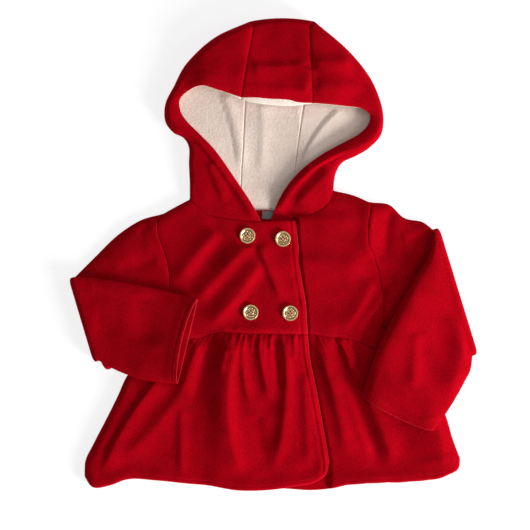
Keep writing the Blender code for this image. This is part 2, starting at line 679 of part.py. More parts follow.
def arm_section(up, low, height, bend):
    """One ring round a flattened sleeve between two edges: the floor side, then the upper side."""
    share = arm_shares()
    width = np.linalg.norm(low - up)
    plan = up + share[:, None] * (low - up) + bend
    near = np.minimum(share, 1 - share) * width
    middle = ARM_FLOOR_ROLL / 2
    top = middle + (height - middle) * roll(near, ARM_TOP_ROLL)
    bottom = middle * (1 - roll(near, ARM_FLOOR_ROLL))
    floor_side = np.column_stack((plan, bottom))
    upper_side = np.column_stack((plan, top))[-2:0:-1]
    return np.concatenate((floor_side, upper_side))


def ring_normals(rings):
    """Normals that stay in the upright plane of each ring, so that a seam's edge isn't slanted."""
    level = np.gradient(rings[:, :ARM_ACROSS + 1, :2], axis=1)
    level = np.concatenate((level, level[:, -2:0:-1]), axis=1)
    level /= np.linalg.norm(level, axis=2)[..., None]
    round_it = np.roll(rings, -1, axis=1) - np.roll(rings, 1, axis=1)
    sideways = (round_it[..., :2] * level).sum(axis=2)
    rise = round_it[..., 2]
    size = np.hypot(sideways, rise)
    return np.concatenate(((rise / size)[..., None] * level, (-sideways / size)[..., None]), axis=2)


def fold_over(points, frame, centre):
    """Bend what lies past the elbow's line up and back over the arm, round the given height."""
    start, line, out = frame
    past = (points[..., :2] - start) @ out
    length = math.pi * (centre / 2 + ELBOW_ROOM / 2)
    angle = np.clip(past / length, 0, 1) * math.pi
    reach = centre - points[..., 2]
    beyond = np.maximum(past - length, 0)
    level = np.where(past > 0, reach * np.sin(angle) - beyond, past)
    folded = points.copy()
    folded[..., :2] += (level - past)[..., None] * out
    folded[..., 2] = np.where(past > 0, centre - reach * np.cos(angle), points[..., 2])
    return folded


def sleeve_stations(upper, fore, start, out, length):
    """Each ring of a sleeve laid out straight: its two edges, its height and its place."""
    stations = []
    places = np.linspace(0, 1, UPPER_ROWS + 1)
    rows = read(ARM_COLUMNS, upper, places)
    for k, place in enumerate(places):
        up = np.array((rows["up_x"][k], rows["up_y"][k]))
        low = np.array((rows["low_x"][k], rows["low_y"][k]))
        stations.append((up, low, rows["height"][k], place))
    for step in np.linspace(0, 1, ELBOW_ROWS + 1)[1:]:
        stations.append((up + out * length * step, low + out * length * step, upper[-1][-1], 2.0))
    rows = read(ARM_COLUMNS, fore, np.linspace(0, 1, FOREARM_ROWS + 1))
    for k in range(1, FOREARM_ROWS + 1):
        ends = []
        for which in ("up", "low"):
            seen = np.array((rows[which + "_x"][k], rows[which + "_y"][k]))
            ends.append(seen + (length - 2 * ((seen - start) @ out)) * out)
        stations.append((*ends, rows["height"][k], 2 + k / FOREARM_ROWS))
    return stations


def sleeve_walls(stations, armhole):
    """Outer and inner points of a sleeve that is laid out straight."""
    hole = along(armhole, arm_shares())
    away = np.array((math.copysign(SEAM_STEP, hole[0, 0]), 0.0))
    chord = hole[0] + arm_shares()[:, None] * (hole[-1] - hole[0])
    rings = []
    for up, low, height, place in stations:
        bend = (hole - chord + away) * ease(1 - 2 * place)
        rings.append(arm_section(up, low, height, bend))
    outer = np.array(rings)
    return outer, outer - ring_normals(outer) * FLEECE


def set_back_cuff(grids, recess):
    """Pull the middle of the cuff edge that shows back towards the elbow."""
    middle = np.sin(math.pi * np.linspace(0, 1, ARM_ACROSS + 1))**1.5
    way = grids[0][-1, :, :2].mean(axis=0) - grids[0][-2, :, :2].mean(axis=0)
    way /= np.linalg.norm(way)
    for back, share in enumerate(CUFF_FADE):
        for grid in grids:
            grid[-1 - back, :ARM_ACROSS + 1, :2] -= way * recess * share * middle[:, None]


def drape_lift(outer, below):
    """How far each place of a forearm rises to clear the cloth below, eased along the sleeve."""
    size = outer.shape[1]
    need = np.zeros((len(outer), ARM_ACROSS + 1))
    steps = (-DRAPE_SPREAD, 0, DRAPE_SPREAD)
    for row in range(UPPER_ROWS + ELBOW_ROWS, len(outer)):
        for k in range(ARM_ACROSS + 1):
            lowest = min(outer[row, p, 2] for p in (k, (size - k) % size))
            x, y = outer[row, k, :2]
            top = max(below(x + dx, y + dy) for dx in steps for dy in steps)
            need[row, k] = max(0.0, top + DRAPE - lowest)
    lift = need.copy()
    for _ in range(DRAPE_PASSES):
        around = np.pad(lift, ((1, 1), (1, 1)), mode="edge")
        mean = (around[:-2, 1:-1] + around[2:, 1:-1] + around[1:-1, :-2] + around[1:-1, 2:]) / 4
        lift = np.maximum(need, mean)
        lift[:UPPER_ROWS + 1] = 0
    return lift


def build_sleeve(name, upper, fore, armhole, recess, under, red):
    """A sleeve as one tube from armhole to cuff, folded over at the elbow onto what is under it."""
    start, line, out = elbow_frame(upper)
    centre = upper[-1][-1] + ELBOW_ROOM
    length = math.pi * (centre + ELBOW_ROOM) / 2
    grids = sleeve_walls(sleeve_stations(upper, fore, start, out, length), armhole)
    set_back_cuff(grids, recess)
    outer, inner = (fold_over(grid, (start, line, out), centre) for grid in grids)

    size = outer.shape[1]
    upper_arm = solid("upper_arm", outer[:UPPER_ROWS + 2].reshape(-1, 3), [
        (r * size + k, r * size + (k + 1) % size, (r + 1) * size + (k + 1) % size, (r + 1) * size + k)
        for r in range(UPPER_ROWS + 1) for k in range(size)], red)
    lift = drape_lift(outer, surface_below(list(under) + [upper_arm]))
    bpy.data.objects.remove(upper_arm, do_unlink=True)
    column = np.arange(size)
    for grid in (outer, inner):
        grid[..., 2] += lift[:, np.minimum(column, size - column)]
    return wall(name, outer, inner, red, ring=True)


# Buttons and label

def build_button(name, place, under, gold):
    """A cast button with a raised rim round a dished face, lying on the front."""
    below = surface_below(under)
    x, y = place
    spots = [(x, y)] + [(x + BUTTON_RADIUS * r * math.cos(a), y + BUTTON_RADIUS * r * math.sin(a))
                        for r in (0.5, 1.0) for a in np.linspace(0, 2 * math.pi, 17)[:-1]]
    base = max(below(*spot) for spot in spots) + SEAM
    profile = ((BUTTON_RADIUS - BUTTON_ROUND, 0.0),
               (BUTTON_RADIUS, BUTTON_ROUND),
               (BUTTON_RADIUS, BUTTON_THICK - BUTTON_ROUND),
               (BUTTON_RADIUS - BUTTON_ROUND, BUTTON_THICK),
               (BUTTON_RADIUS - BUTTON_RIM, BUTTON_THICK),
               (BUTTON_RADIUS - BUTTON_RIM - BUTTON_SLOPE, BUTTON_THICK - BUTTON_DISH))
    vertices, faces = [], []
    for radius, height in profile:
        for k in range(BUTTON_SIDES):
            turn = 2 * math.pi * k / BUTTON_SIDES
            vertices.append((x + radius * math.cos(turn), y + radius * math.sin(turn), base + height))
    for ring in range(len(profile) - 1):
        for k in range(BUTTON_SIDES):
            after = (k + 1) % BUTTON_SIDES
            faces.append((ring * BUTTON_SIDES + k, ring * BUTTON_SIDES + after,
                          (ring + 1) * BUTTON_SIDES + after, (ring + 1) * BUTTON_SIDES + k))
    top = (len(profile) - 1) * BUTTON_SIDES
    faces.append(tuple(range(BUTTON_SIDES))[::-1])
    faces.append(tuple(range(top, top + BUTTON_SIDES)))
    solid(name, vertices, faces, gold)


def build_label(grey):
    outline = ((LABEL_LEFT, LABEL_BOTTOM), (LABEL_RIGHT, LABEL_BOTTOM), (LABEL_RIGHT, LABEL_TOP),
               (LABEL_LEFT, LABEL_TOP))
    bottom = FLEECE + SEAM
    flat_piece("neck_label", outline, bottom, bottom + LABEL_THICK, grey)


clear_scene()
RED_FLEECE = material("red_fleece", RED, 0.95)
CREAM_PILE = material("cream_lining", CREAM, 0.95)
GOLD_CAST = material("gold_button", GOLD, 0.35, 1.0)
GREY_LABEL = material("grey_label", GREY, 0.8)
NECK_OF_LEFT, NECK_OF_RIGHT = build_hood(RED_FLEECE, CREAM_PILE)
OVER_BODICE, UNDER_BODICE = build_bodice(RED_FLEECE, NECK_OF_LEFT, NECK_OF_RIGHT)
OVER_SKIRT, UNDER_SKIRT = build_skirt(RED_FLEECE)
FRONTS = (OVER_BODICE, UNDER_BODICE, OVER_SKIRT, UNDER_SKIRT)
build_sleeve("sleeve_left", UPPER_ARM_LEFT, FOREARM_LEFT, ARMHOLE_LEFT, CUFF_RECESS_LEFT, FRONTS,
             RED_FLEECE)
build_sleeve("sleeve_right", UPPER_ARM_RIGHT, FOREARM_RIGHT, ARMHOLE_RIGHT, CUFF_RECESS_RIGHT, FRONTS,
             RED_FLEECE)
for number, spot in enumerate(BUTTON_PLACES, start=1):
    build_button("button_" + str(number), spot, FRONTS, GOLD_CAST)
build_label(GREY_LABEL)
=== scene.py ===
"""Looks of a small child's hooded fleece jacket, laid flat with both sleeves folded over it.

Sizes are in millimetres until a mesh is made: x runs across the jacket, y from hem to hood, and
z up from the surface that it lies on. Left and right are those of someone who looks down on it.
"""

import math

import bpy
import numpy as np
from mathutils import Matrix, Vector
from mathutils.bvhtree import BVHTree


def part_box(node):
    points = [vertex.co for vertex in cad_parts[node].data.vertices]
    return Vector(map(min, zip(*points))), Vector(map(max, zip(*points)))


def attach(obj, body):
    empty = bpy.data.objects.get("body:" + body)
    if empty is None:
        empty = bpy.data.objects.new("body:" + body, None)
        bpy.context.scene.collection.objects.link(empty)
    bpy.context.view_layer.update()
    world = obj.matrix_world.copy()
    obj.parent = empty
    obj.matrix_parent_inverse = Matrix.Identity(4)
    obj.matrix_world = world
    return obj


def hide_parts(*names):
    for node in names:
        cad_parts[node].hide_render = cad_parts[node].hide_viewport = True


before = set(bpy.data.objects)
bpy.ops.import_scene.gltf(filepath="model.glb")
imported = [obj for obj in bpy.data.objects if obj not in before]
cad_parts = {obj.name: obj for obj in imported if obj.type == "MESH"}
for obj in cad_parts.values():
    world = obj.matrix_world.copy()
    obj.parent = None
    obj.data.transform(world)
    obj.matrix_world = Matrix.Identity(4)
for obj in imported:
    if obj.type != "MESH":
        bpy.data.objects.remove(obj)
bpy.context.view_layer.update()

MM = 0.001

# Camera, surface and light
# The jacket lies on a white surface and is seen from straight above through a long lens. The
# light is soft and comes mostly from the lower right, low enough to model the folds.
VIEW_WIDTH = 662.5
VIEW_CENTRE = (-10.25, -12.25)
LENS, SENSOR = 85.0, 36.0
SURFACE_WHITE = (0.32, 0.32, 0.32)
SURFACE_GLOW, SURFACE_ROUGH, SURFACE_SIZE = 0.78, 0.9, 12
ROOM_LIGHT = 0.22
KEY_PLACE, KEY_SIZE, KEY_POWER = (2.36, -1.75, 0.95), 0.95, 150
SIDE_PLACE, SIDE_SIZE, SIDE_POWER = (0.76, 0.18, 0.42), 0.35, 2.2
OVERHEAD_PLACE, OVERHEAD_SIZE, OVERHEAD_POWER = (0.1, 0.2, 2.4), 1.6, 6
WHITE = (1, 1, 1, 1)

camera_data = bpy.data.cameras.new("camera")
camera_data.lens, camera_data.sensor_width = LENS, SENSOR
camera = bpy.data.objects.new("camera", camera_data)
camera.location = (VIEW_CENTRE[0] * MM, VIEW_CENTRE[1] * MM, VIEW_WIDTH * MM * LENS / SENSOR)
bpy.context.scene.collection.objects.link(camera)
bpy.context.scene.camera = camera
bpy.context.scene.view_settings.view_transform = "Standard"

def new_paint(name):
    """A new material, a function that adds a node to it and one that sets its shader's inputs.

    Both functions take values by input; a value may be another node's output.
    """
    made = bpy.data.materials.new(name)
    made.use_nodes = True
    tree = made.node_tree

    def settle(target, values):
        for key, value in values.items():
            if isinstance(value, bpy.types.NodeSocket):
                tree.links.new(value, target.inputs[key])
            else:
                target.inputs[key].default_value = value

    def node(kind, output, values, mode=None):
        added = tree.nodes.new("ShaderNode" + kind)
        if kind == "Mix":
            added.data_type = "RGBA"
        elif kind == "Math":
            added.operation = mode
        elif kind == "Attribute":
            added.attribute_name = mode
        settle(added, values)
        return added.outputs[output]

    def shade(values):
        settle(tree.nodes["Principled BSDF"], values)

    return made, node, shade


surface_paint, node, shade = new_paint("white_surface")
shade({"Base Color": (*SURFACE_WHITE, 1), "Roughness": SURFACE_ROUGH, "Emission Color": WHITE,
       "Emission Strength": SURFACE_GLOW})
bpy.ops.object.select_all(action="DESELECT")
bpy.ops.mesh.primitive_plane_add(size=SURFACE_SIZE)
surface = bpy.context.object
surface.name = "surface"
surface.data.materials.append(surface_paint)

room = bpy.data.worlds.new("room")
room.use_nodes = True
room.node_tree.nodes["Background"].inputs["Color"].default_value = WHITE
room.node_tree.nodes["Background"].inputs["Strength"].default_value = ROOM_LIGHT
bpy.context.scene.world = room


def soft_light(name, place, size, power):
    lamp = bpy.data.lights.new(name, "AREA")
    lamp.size, lamp.energy = size, power
    light = bpy.data.objects.new(name, lamp)
    light.location = place
    light.rotation_euler = (-Vector(place)).to_track_quat("-Z", "Y").to_euler()
    bpy.context.scene.collection.objects.link(light)


soft_light("key", KEY_PLACE, KEY_SIZE, KEY_POWER)
soft_light("side", SIDE_PLACE, SIDE_SIZE, SIDE_POWER)
soft_light("overhead", OVERHEAD_PLACE, OVERHEAD_SIZE, OVERHEAD_POWER)

# Back
# The back bodice and the gathered back skirt are red fleece, sewn together at the waist. They lie
# flat under everything else, so only their edges and the inside of the neck show.
FLEECE = 2.2
SEAM = 0.3
SEAM_STEP = 0.55
RIM_ANGLES = (45.0, 90.0, 135.0)
SEAM_THREAD, THREAD_SIDES = 0.55, 8
SEAM_ROUND, SEAM_SINK, NECK_SEAM_SHIFT = 0.35, 0.7, 0.5
SHORT_SEAM, LONG_SEAM = 80, 120
RUN_POINTS, CLOSE_POINTS, EDGE_SHARE = 60, 300, 0.6
# Shares of the painted highlight on the face and on the rounded rim of a finished edge.
EDGE_HIGHLIGHT_FACE, EDGE_HIGHLIGHT_RIM = 0.1, 0.25
SHOULDER_LEFT = ((-139, 51), (-123, 60), (-104, 70))
SHOULDER_RIGHT = ((121, 66), (100, 75), (75, 81))
NECK_BACK = ((-104, 68), (-96, 66), (-42, 57), (-25, 57), (5, 57), (22, 57), (68, 76), (75, 79))
ARMHOLE_LEFT = ((-139, 51), (-144, 34), (-139, 14), (-132, -6), (-129, -30), (-129, -60))
ARMHOLE_RIGHT = ((121, 66), (118, 40), (118, 15), (127, -8), (134, -40), (137, -90))
SIDE_LEFT = ((-129, -60), (-138, -85), (-144, -109))
SIDE_RIGHT = ((137, -90), (143, -92.5), (142, -105), (136, -119))
WAIST_OVER = ((-144, -109), (-110, -107), (-88, -102), (-70, -97), (-45, -97), (-4, -98), (43, -99))
WAIST_UNDER = ((-50, -98), (20, -98), (48, -99), (71, -102), (91, -104), (112, -111), (136, -119))
OUTLINE_LEFT = ((-144, -109), (-163, -127), (-182, -150), (-194, -176), (-210, -208), (-225, -237),
                (-234, -256), (-235, -276))
OUTLINE_RIGHT = ((136, -119), (165, -142), (192, -168), (212, -193), (217, -206), (222, -224),
                 (228, -241), (233, -254))
HEM_OVER = ((-235, -276), (-226, -289), (-203, -287), (-184, -280), (-145, -281), (-106, -285),
            (-81, -287), (-43, -293), (-16, -293), (27, -288), (54, -282), (66, -273), (70, -258))
HEM_UNDER = ((-62, -284), (-30, -289), (14, -291), (50, -293), (71, -291), (89, -287), (124, -284),
             (172, -282), (215, -275), (231, -265), (233, -254))
BACK_STEP, BACK_BODICE_SIZE, BACK_SKIRT_SIZE = 4.0, (265, 165), (380, 185)
UP = (0.0, 0.0, 1.0)
STITCH_PITCH, STITCH_LENGTH, STITCH_WIDE, STITCH_HIGH, STITCH_END = 3.2, 2.4, 0.5, 0.28, 0.4
FLEECE_DARK = (0.26, 0.0, 0.003)
FLEECE_LIGHT = (0.46, 0.0, 0.008)
# The tip colour serves the lighter fibre tips and the painted highlight along finished edges.
FLEECE_TIP_AND_HIGHLIGHT = (0.80, 0.09, 0.12)
FLEECE_GLOW = (0.90, 0.0, 0.02)
FLEECE_GRAIN, FLEECE_SHEEN = 1500.0, 0.35
SEWING_DARK, SEWING_LIGHT, SEWING_TIP = (0.42, 0.0, 0.01), (0.66, 0.02, 0.05), (0.8, 0.1, 0.1)
SEWING_GRAIN, SEWING_SHEEN = 2600.0, 0.2
NAP_ROUGH, NAP_SHINE, SHEEN_ROUGH = 1.0, 0.03, 0.42
NAP_DETAIL, PILL_DETAIL, TONE_DETAIL = 3.0, 4.0, 2.0
PILL_SIZE, TONE_GRAIN, PILL_SHARE, TONE_SHARE, TIP_SHARE = 0.34, 26.0, 0.55, 0.45, 0.3
UNEVEN_SPREAD, TIP_SPREAD, EDGE_HIGHLIGHT_SPREAD = (0.32, 0.68), (0.66, 0.92), (0.30, 0.72)
NAP_BUMP = {"Strength": 0.55, "Distance": 0.0005}
PILL_BUMP = {"Strength": 0.4, "Distance": 0.0012}
MIX_UNDER, MIX_OVER, MIXED = 6, 7, 2


def fleece(name, dark, light, tip_and_highlight, glow, grain, sheen):
    """Brushed cloth: uneven colour, a short nap in the bump, and a lighter painted highlight along finished
    edges.
    """
    made, node, shade = new_paint(name)

    def grained(scale, detail):
        return node("TexNoise", "Fac", {"Vector": place, "Scale": scale, "Detail": detail})

    def spread(value, ends):
        return node("MapRange", "Result", {"Value": value, "From Min": ends[0], "From Max": ends[1]})

    def blended(amount, under, over):
        return node("Mix", MIXED, {"Factor": amount, MIX_UNDER: under, MIX_OVER: over})

    place = node("TexCoord", "Object", {})
    nap, pills = grained(grain, NAP_DETAIL), grained(grain * PILL_SIZE, PILL_DETAIL)
    tone = grained(TONE_GRAIN, TONE_DETAIL)
    tone = node("Math", 0, {0: tone, 1: TONE_SHARE}, "MULTIPLY")
    uneven = node("Math", 0, {0: pills, 1: PILL_SHARE, 2: tone}, "MULTIPLY_ADD")
    fibre = [(1 - TIP_SHARE) * a + TIP_SHARE * b for a, b in zip(light, tip_and_highlight)]
    colour = blended(spread(uneven, UNEVEN_SPREAD), (*dark, 1), (*light, 1))
    colour = blended(spread(nap, TIP_SPREAD), colour, (*fibre, 1))
    # Painted highlight: finished edges, marked by the edge attribute, turn towards the lighter tip colour.
    edge = node("Attribute", "Fac", {}, "edge")
    edge_highlight = node("Math", 0, {0: edge, 1: spread(nap, EDGE_HIGHLIGHT_SPREAD)}, "MULTIPLY")
    pilled = node("Bump", "Normal", {"Height": pills, **PILL_BUMP})
    shade({"Base Color": blended(edge_highlight, colour, (*tip_and_highlight, 1)), "Roughness": NAP_ROUGH,
           "Specular IOR Level": NAP_SHINE, "Sheen Weight": sheen, "Sheen Roughness": SHEEN_ROUGH,
           "Sheen Tint": (*glow, 1),
           "Normal": node("Bump", "Normal", {"Height": nap, "Normal": pilled, **NAP_BUMP})})
    return made


def smooth_at(knots, values, places):
    """Values at the given places on a smooth curve through the rows of values."""
    slopes = np.gradient(values, knots, axis=0)
    left = np.clip(np.searchsorted(knots, places, side="right") - 1, 0, len(knots) - 2)
    step = knots[left + 1] - knots[left]
    u = ((places - knots[left]) / step)[:, None]
    step = step[:, None]
    start = (2 * u**3 - 3 * u**2 + 1) * values[left] + (u**3 - 2 * u**2 + u) * step * slopes[left]
    end = (3 * u**2 - 2 * u**3) * values[left + 1] + (u**3 - u**2) * step * slopes[left + 1]
    return start + end


def lengths(points):
    """Distance from the first point to each point of a run."""
    steps = np.linalg.norm(np.diff(points, axis=0), axis=1)
    return np.concatenate(([0.0], np.cumsum(steps)))


def along(path, places):
    """Points at fractions 0 to 1 of the length of a smooth curve through the path."""
    points = np.array(path, float)
    knots = lengths(points)
    return smooth_at(knots, points, np.asarray(places, float) * knots[-1])


def joined(*paths):
    """One close run of points along several smooth paths, end to end."""
    runs = [along(path, np.linspace(0, 1, RUN_POINTS)) for path in paths]
    return np.concatenate([runs[0]] + [run[1:] for run in runs[1:]])


def divided(run, count, shift=(0.0, 0.0)):
    """count + 1 points, evenly along a close run of points."""
    knots = lengths(run)
    wanted = np.linspace(0, knots[-1], count + 1)
    return np.stack([np.interp(wanted, knots, run[:, k]) + shift[k] for k in (0, 1)], axis=1)


def patch(top, bottom, left, right):
    """Grid of plan points between four edges; the rows run from top to bottom."""
    top, bottom = top.copy(), bottom.copy()
    top[0], top[-1], bottom[0], bottom[-1] = left[0], right[0], left[-1], right[-1]
    u, v = np.linspace(0, 1, len(top)), np.linspace(0, 1, len(left))
    across = (1 - v)[:, None, None] * top[None] + v[:, None, None] * bottom[None]
    down = (1 - u)[None, :, None] * left[:, None] + u[None, :, None] * right[:, None]
    ends = (1 - u)[:, None] * top[0] + u[:, None] * top[-1]
    feet = (1 - u)[:, None] * bottom[0] + u[:, None] * bottom[-1]
    return across + down - ((1 - v)[:, None, None] * ends[None] + v[:, None, None] * feet[None])


def add_piece(name, points, faces, paint):
    """A piece of the jacket from points in millimetres and lists of corners."""
    mesh = bpy.data.meshes.new(name)
    mesh.from_pydata((points * MM).tolist(), [], faces)
    mesh.materials.append(paint)
    piece = bpy.data.objects.new(name, mesh)
    bpy.context.scene.collection.objects.link(piece)
    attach(piece, "root")
    return piece


def cloth(solid, outer, inner, paint, free=(), ring=False, ending="_cloth"):
    """Closed sheet between two grids of points, with rounded edges; a ring's columns run round.

    free names the sides of the grid that are finished edges rather than seams.
    """
    rows, columns = outer.shape[:2]
    index = np.arange(rows * columns).reshape(rows, columns)
    near = index[np.clip(np.arange(rows), 1, rows - 2)]
    if ring:
        loops = [(index[0], near[0]), (index[-1][::-1], near[-1][::-1])]
        shown = [np.full(columns, "top" in free), np.full(columns, "bottom" in free)]
        wide = np.concatenate((index, index[:, :1]), axis=1)
    else:
        near = near[:, np.clip(np.arange(columns), 1, columns - 2)]
        loops = [tuple(np.concatenate((grid[0, :-1], grid[:-1, -1], grid[-1, :0:-1], grid[:0:-1, 0]))
                       for grid in (index, near))]
        shown = [np.repeat([side in free for side in ("top", "right", "bottom", "left")],
                           (columns - 1, rows - 1, columns - 1, rows - 1))]
        wide = index
    points = np.concatenate((outer.reshape(-1, 3), inner.reshape(-1, 3)))
    back = rows * columns
    quads = np.stack((wide[:-1, :-1], wide[:-1, 1:], wide[1:, 1:], wide[1:, :-1]), axis=-1).reshape(-1, 4)
    faces = [quads, quads[:, ::-1] + back]
    added, edge = [], [np.zeros(len(points))]
    for (loop, inside), finished in zip(loops, shown):
        out = points[loop] - points[inside]
        room_in = np.linalg.norm(out, axis=1)[:, None]
        out = out / np.maximum(room_in, 1e-9)
        half = (points[loop] - points[loop + back]) / 2
        centre = (points[loop] + points[loop + back]) / 2
        depth = np.minimum(np.linalg.norm(half, axis=1)[:, None], EDGE_SHARE * room_in)
        depth = depth * np.where(finished, 1.0, SEAM_ROUND)[:, None]
        centre = centre - out * depth
        points[loop], points[loop + back] = centre + half, centre - half
        # The edge attribute marks finished edges for the painted highlight in the fleece colour.
        edge[0][loop] = edge[0][loop + back] = EDGE_HIGHLIGHT_FACE * finished
        strip = [loop]
        for angle in RIM_ANGLES:
            turn = math.radians(angle)
            strip.append(len(points) + sum(len(a) for a in added) + np.arange(len(loop)))
            added.append(centre + half * math.cos(turn) + out * depth * math.sin(turn))
            edge.append(EDGE_HIGHLIGHT_RIM * finished)
        strip.append(loop + back)
        for upper, lower in zip(strip[:-1], strip[1:]):
            after = np.roll(upper, -1), np.roll(lower, -1)
            faces.append(np.stack((after[0], upper, lower, after[1]), axis=-1))
    points = np.concatenate([points] + added)
    faces = np.concatenate(faces)
    a, b, c, d = (points[faces[:, k]] for k in range(4))
    if (np.cross(b - a, c - a) * a).sum() + (np.cross(c - a, d - a) * a).sum() < 0:
        faces = faces[:, ::-1]
    piece = add_piece(solid + ending, points, faces.tolist(), paint)
    piece.data.attributes.new("edge", "FLOAT", "POINT").data.foreach_set("value", np.concatenate(edge))
    piece.data.shade_smooth()
    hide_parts(solid)
    return piece


def raised(plan, height):
    return np.dstack((plan[..., 0], plan[..., 1], height))


def flat_cloth(solid, plan, low, high, paint, free=(), ending="_cloth"):
    """A level sheet of cloth between two heights."""
    level = np.zeros(plan.shape[:2])
    return cloth(solid, raised(plan, level + high), raised(plan, level + low), paint, free,
                 ending=ending)


def thread(name, points, paint):
    """A round sewing thread along a run of points, closed at both ends."""
    ahead = np.gradient(points, axis=0)
    ahead /= np.linalg.norm(ahead, axis=1)[:, None]
    side = np.cross(ahead, UP)
    side /= np.maximum(np.linalg.norm(side, axis=1), 1e-9)[:, None]
    above = np.cross(side, ahead)
    turns = np.linspace(0, math.tau, THREAD_SIDES, endpoint=False)[None, :, None]
    rings = points[:, None] + SEAM_THREAD * (np.cos(turns) * side[:, None] + np.sin(turns) * above[:, None])
    index = np.arange(len(points) * THREAD_SIDES).reshape(len(points), THREAD_SIDES)
    beside = np.roll(index, -1, axis=1)
    faces = np.stack((index[:-1], index[1:], beside[1:], beside[:-1]), axis=-1).reshape(-1, 4).tolist()
    faces += [index[0].tolist(), index[-1][::-1].tolist()]
    add_piece(name, rings.reshape(-1, 3), faces, paint).data.shade_smooth()


def seam_thread(name, run, height):
    """The thread that closes a seam, just below the given height."""
    thread(name, np.column_stack((run, height - SEAM_SINK)), red_fleece)


def topstitch(name, points):
    """A line of stitches along close points on the cloth, each a short raised length of thread."""
    knots = lengths(points)
    starts = np.arange(STITCH_PITCH / 2, knots[-1] - STITCH_LENGTH, STITCH_PITCH)
    at = [np.stack([np.interp(starts + STITCH_LENGTH * share, knots, points[:, k]) for k in range(3)],
                   axis=1) for share in (0.0, 0.5, 1.0)]
    side = np.cross(at[2] - at[0], UP)
    side *= STITCH_WIDE / 2 / np.linalg.norm(side, axis=1)[:, None]
    rise = STITCH_HIGH * np.array(UP)
    rings = [(at[k] + size * side, at[k] + size * rise, at[k] - size * side, at[k] - rise)
             for k, size in enumerate((STITCH_END, 1.0, STITCH_END))]
    corners = np.array([corner for ring in rings for corner in ring]).transpose(1, 0, 2)
    first = np.arange(len(starts))[:, None, None] * corners.shape[1]
    walls = [(a + k, a + (k + 1) % 4, a + 4 + (k + 1) % 4, a + 4 + k) for a in (0, 4) for k in range(4)]
    faces = np.array([walls + [(3, 2, 1, 0), (8, 9, 10, 11)]]) + first
    add_piece(name, corners.reshape(-1, 3), faces.reshape(-1, 4).tolist(), red_sewing)


red_sewing = fleece("red_sewing", SEWING_DARK, SEWING_LIGHT, SEWING_TIP, FLEECE_GLOW, SEWING_GRAIN,
                    SEWING_SHEEN)
red_fleece = fleece("red_fleece", FLEECE_DARK, FLEECE_LIGHT, FLEECE_TIP_AND_HIGHLIGHT, FLEECE_GLOW, FLEECE_GRAIN,
                    FLEECE_SHEEN)

arm_side_left, arm_side_right = joined(ARMHOLE_LEFT, SIDE_LEFT), joined(ARMHOLE_RIGHT, SIDE_RIGHT)
waist_all = joined(WAIST_OVER, WAIST_UNDER[2:])
across, down = (int(size / BACK_STEP) for size in BACK_BODICE_SIZE)
plan = patch(divided(joined(SHOULDER_LEFT, NECK_BACK, SHOULDER_RIGHT[::-1]), across, (0, -SEAM)),
             divided(waist_all, across, (0, SEAM)),
             divided(arm_side_left, down), divided(arm_side_right, down))
back_bodice = flat_cloth("back_bodice", plan, 0.0, FLEECE, red_fleece)

across, down = (int(size / BACK_STEP) for size in BACK_SKIRT_SIZE)
plan = patch(divided(waist_all, across, (0, -SEAM)),
             divided(joined(HEM_OVER[:9], HEM_OVER[8:9] + HEM_UNDER[2:]), across),
             divided(joined(OUTLINE_LEFT), down), divided(joined(OUTLINE_RIGHT), down))
back_skirt = flat_cloth("back_skirt", plan, 0.0, FLEECE, red_fleece, ("bottom",))

for name, run in (
        ("waist_seam_back", divided(waist_all, LONG_SEAM)),
        ("armhole_seam_back_left", divided(joined(ARMHOLE_LEFT), SHORT_SEAM, (-SEAM_STEP / 2, 0))),
        ("armhole_seam_back_right", divided(joined(ARMHOLE_RIGHT), SHORT_SEAM, (SEAM_STEP / 2, 0))),
        ("neck_seam_back", divided(joined(NECK_BACK), SHORT_SEAM, (0, NECK_SEAM_SHIFT)))):
    seam_thread(name, run, np.full(len(run), FLEECE))

# Fronts
# Two fronts of red fleece: the left one laps over the right one. Each is a bodice and a skirt
# that is gathered into the waist seam, topstitched along the waist, the front edge and the hem.
NECK_LEFT = ((-104, 70), (-95, 60), (-83, 52), (-64, 47), (-41, 44), (-15, 42))
NECK_RIGHT = ((75, 81), (71, 69), (60, 58), (42, 50), (21, 46), (-4, 43))
FRONT_EDGE = ((29, 43), (33, -6), (37, -37), (41, -62), (42, -80), (43, -99))
FRONT_EDGE_SKIRT = ((43, -99), (46, -128), (54, -168), (61, -207), (66, -234), (70, -258))
UNDER_EDGE = ((-49, 42), (-50, -98))
UNDER_EDGE_SKIRT = ((-50, -98), (-62, -284))
CLOTH_STEP, BODICE_HEIGHT, SKIRT_HEIGHT = 1.8, 150, 185
OVER, GAP_POINTS = 0.6, 150
BODY_LOFT, BODY_ROLL, HEM_ROLL = 6.0, 17.0, 8.0
LAP_CLIMB, LAP_CLIMB_EARLY, LAP_REST, LAP_THIN, LAP_TIGHT = 26.0, 3.0, 10.0, 0.25, 1.0
LAP_STEP, LAP_START, LAP_REACH, LAP_BEFORE, LAP_AFTER = 0.75, 4.0, 40.0, 0.3, 1.0
LAP_DIP, LAP_DIP_REACH, LAP_DIP_Y, LAP_DIP_SPAN = 0.35, 22.0, -145.0, 50.0
EDGE_ROLL, EDGE_SINK, EDGE_HEM, EDGE_ROLL_WIDTH, EDGE_SINK_WIDTH = 2.4, 1.4, 8.0, 2.8, 1.8
FOLD_START, FOLD_START_FADE, FOLD_END, FOLD_END_FADE, FOLD_CREST = 0.04, 0.14, 1.06, 0.28, 1.8
BODY_RUMPLE, BODY_RUMPLE_SIZE, RUMPLE_WAVES, RUMPLE_PITCHES = 0.5, 22, 9, (0.6, 1.6)
UNDER_SEED, OVER_SEED = 3, 5
WAIST_DIP, WAIST_WIDTH = 1.1, 4.0
SEAM_DIP, SEAM_WIDTH = 0.55, 3.0
GATHER_PITCHES = (6.5, 9.1, 14.3)
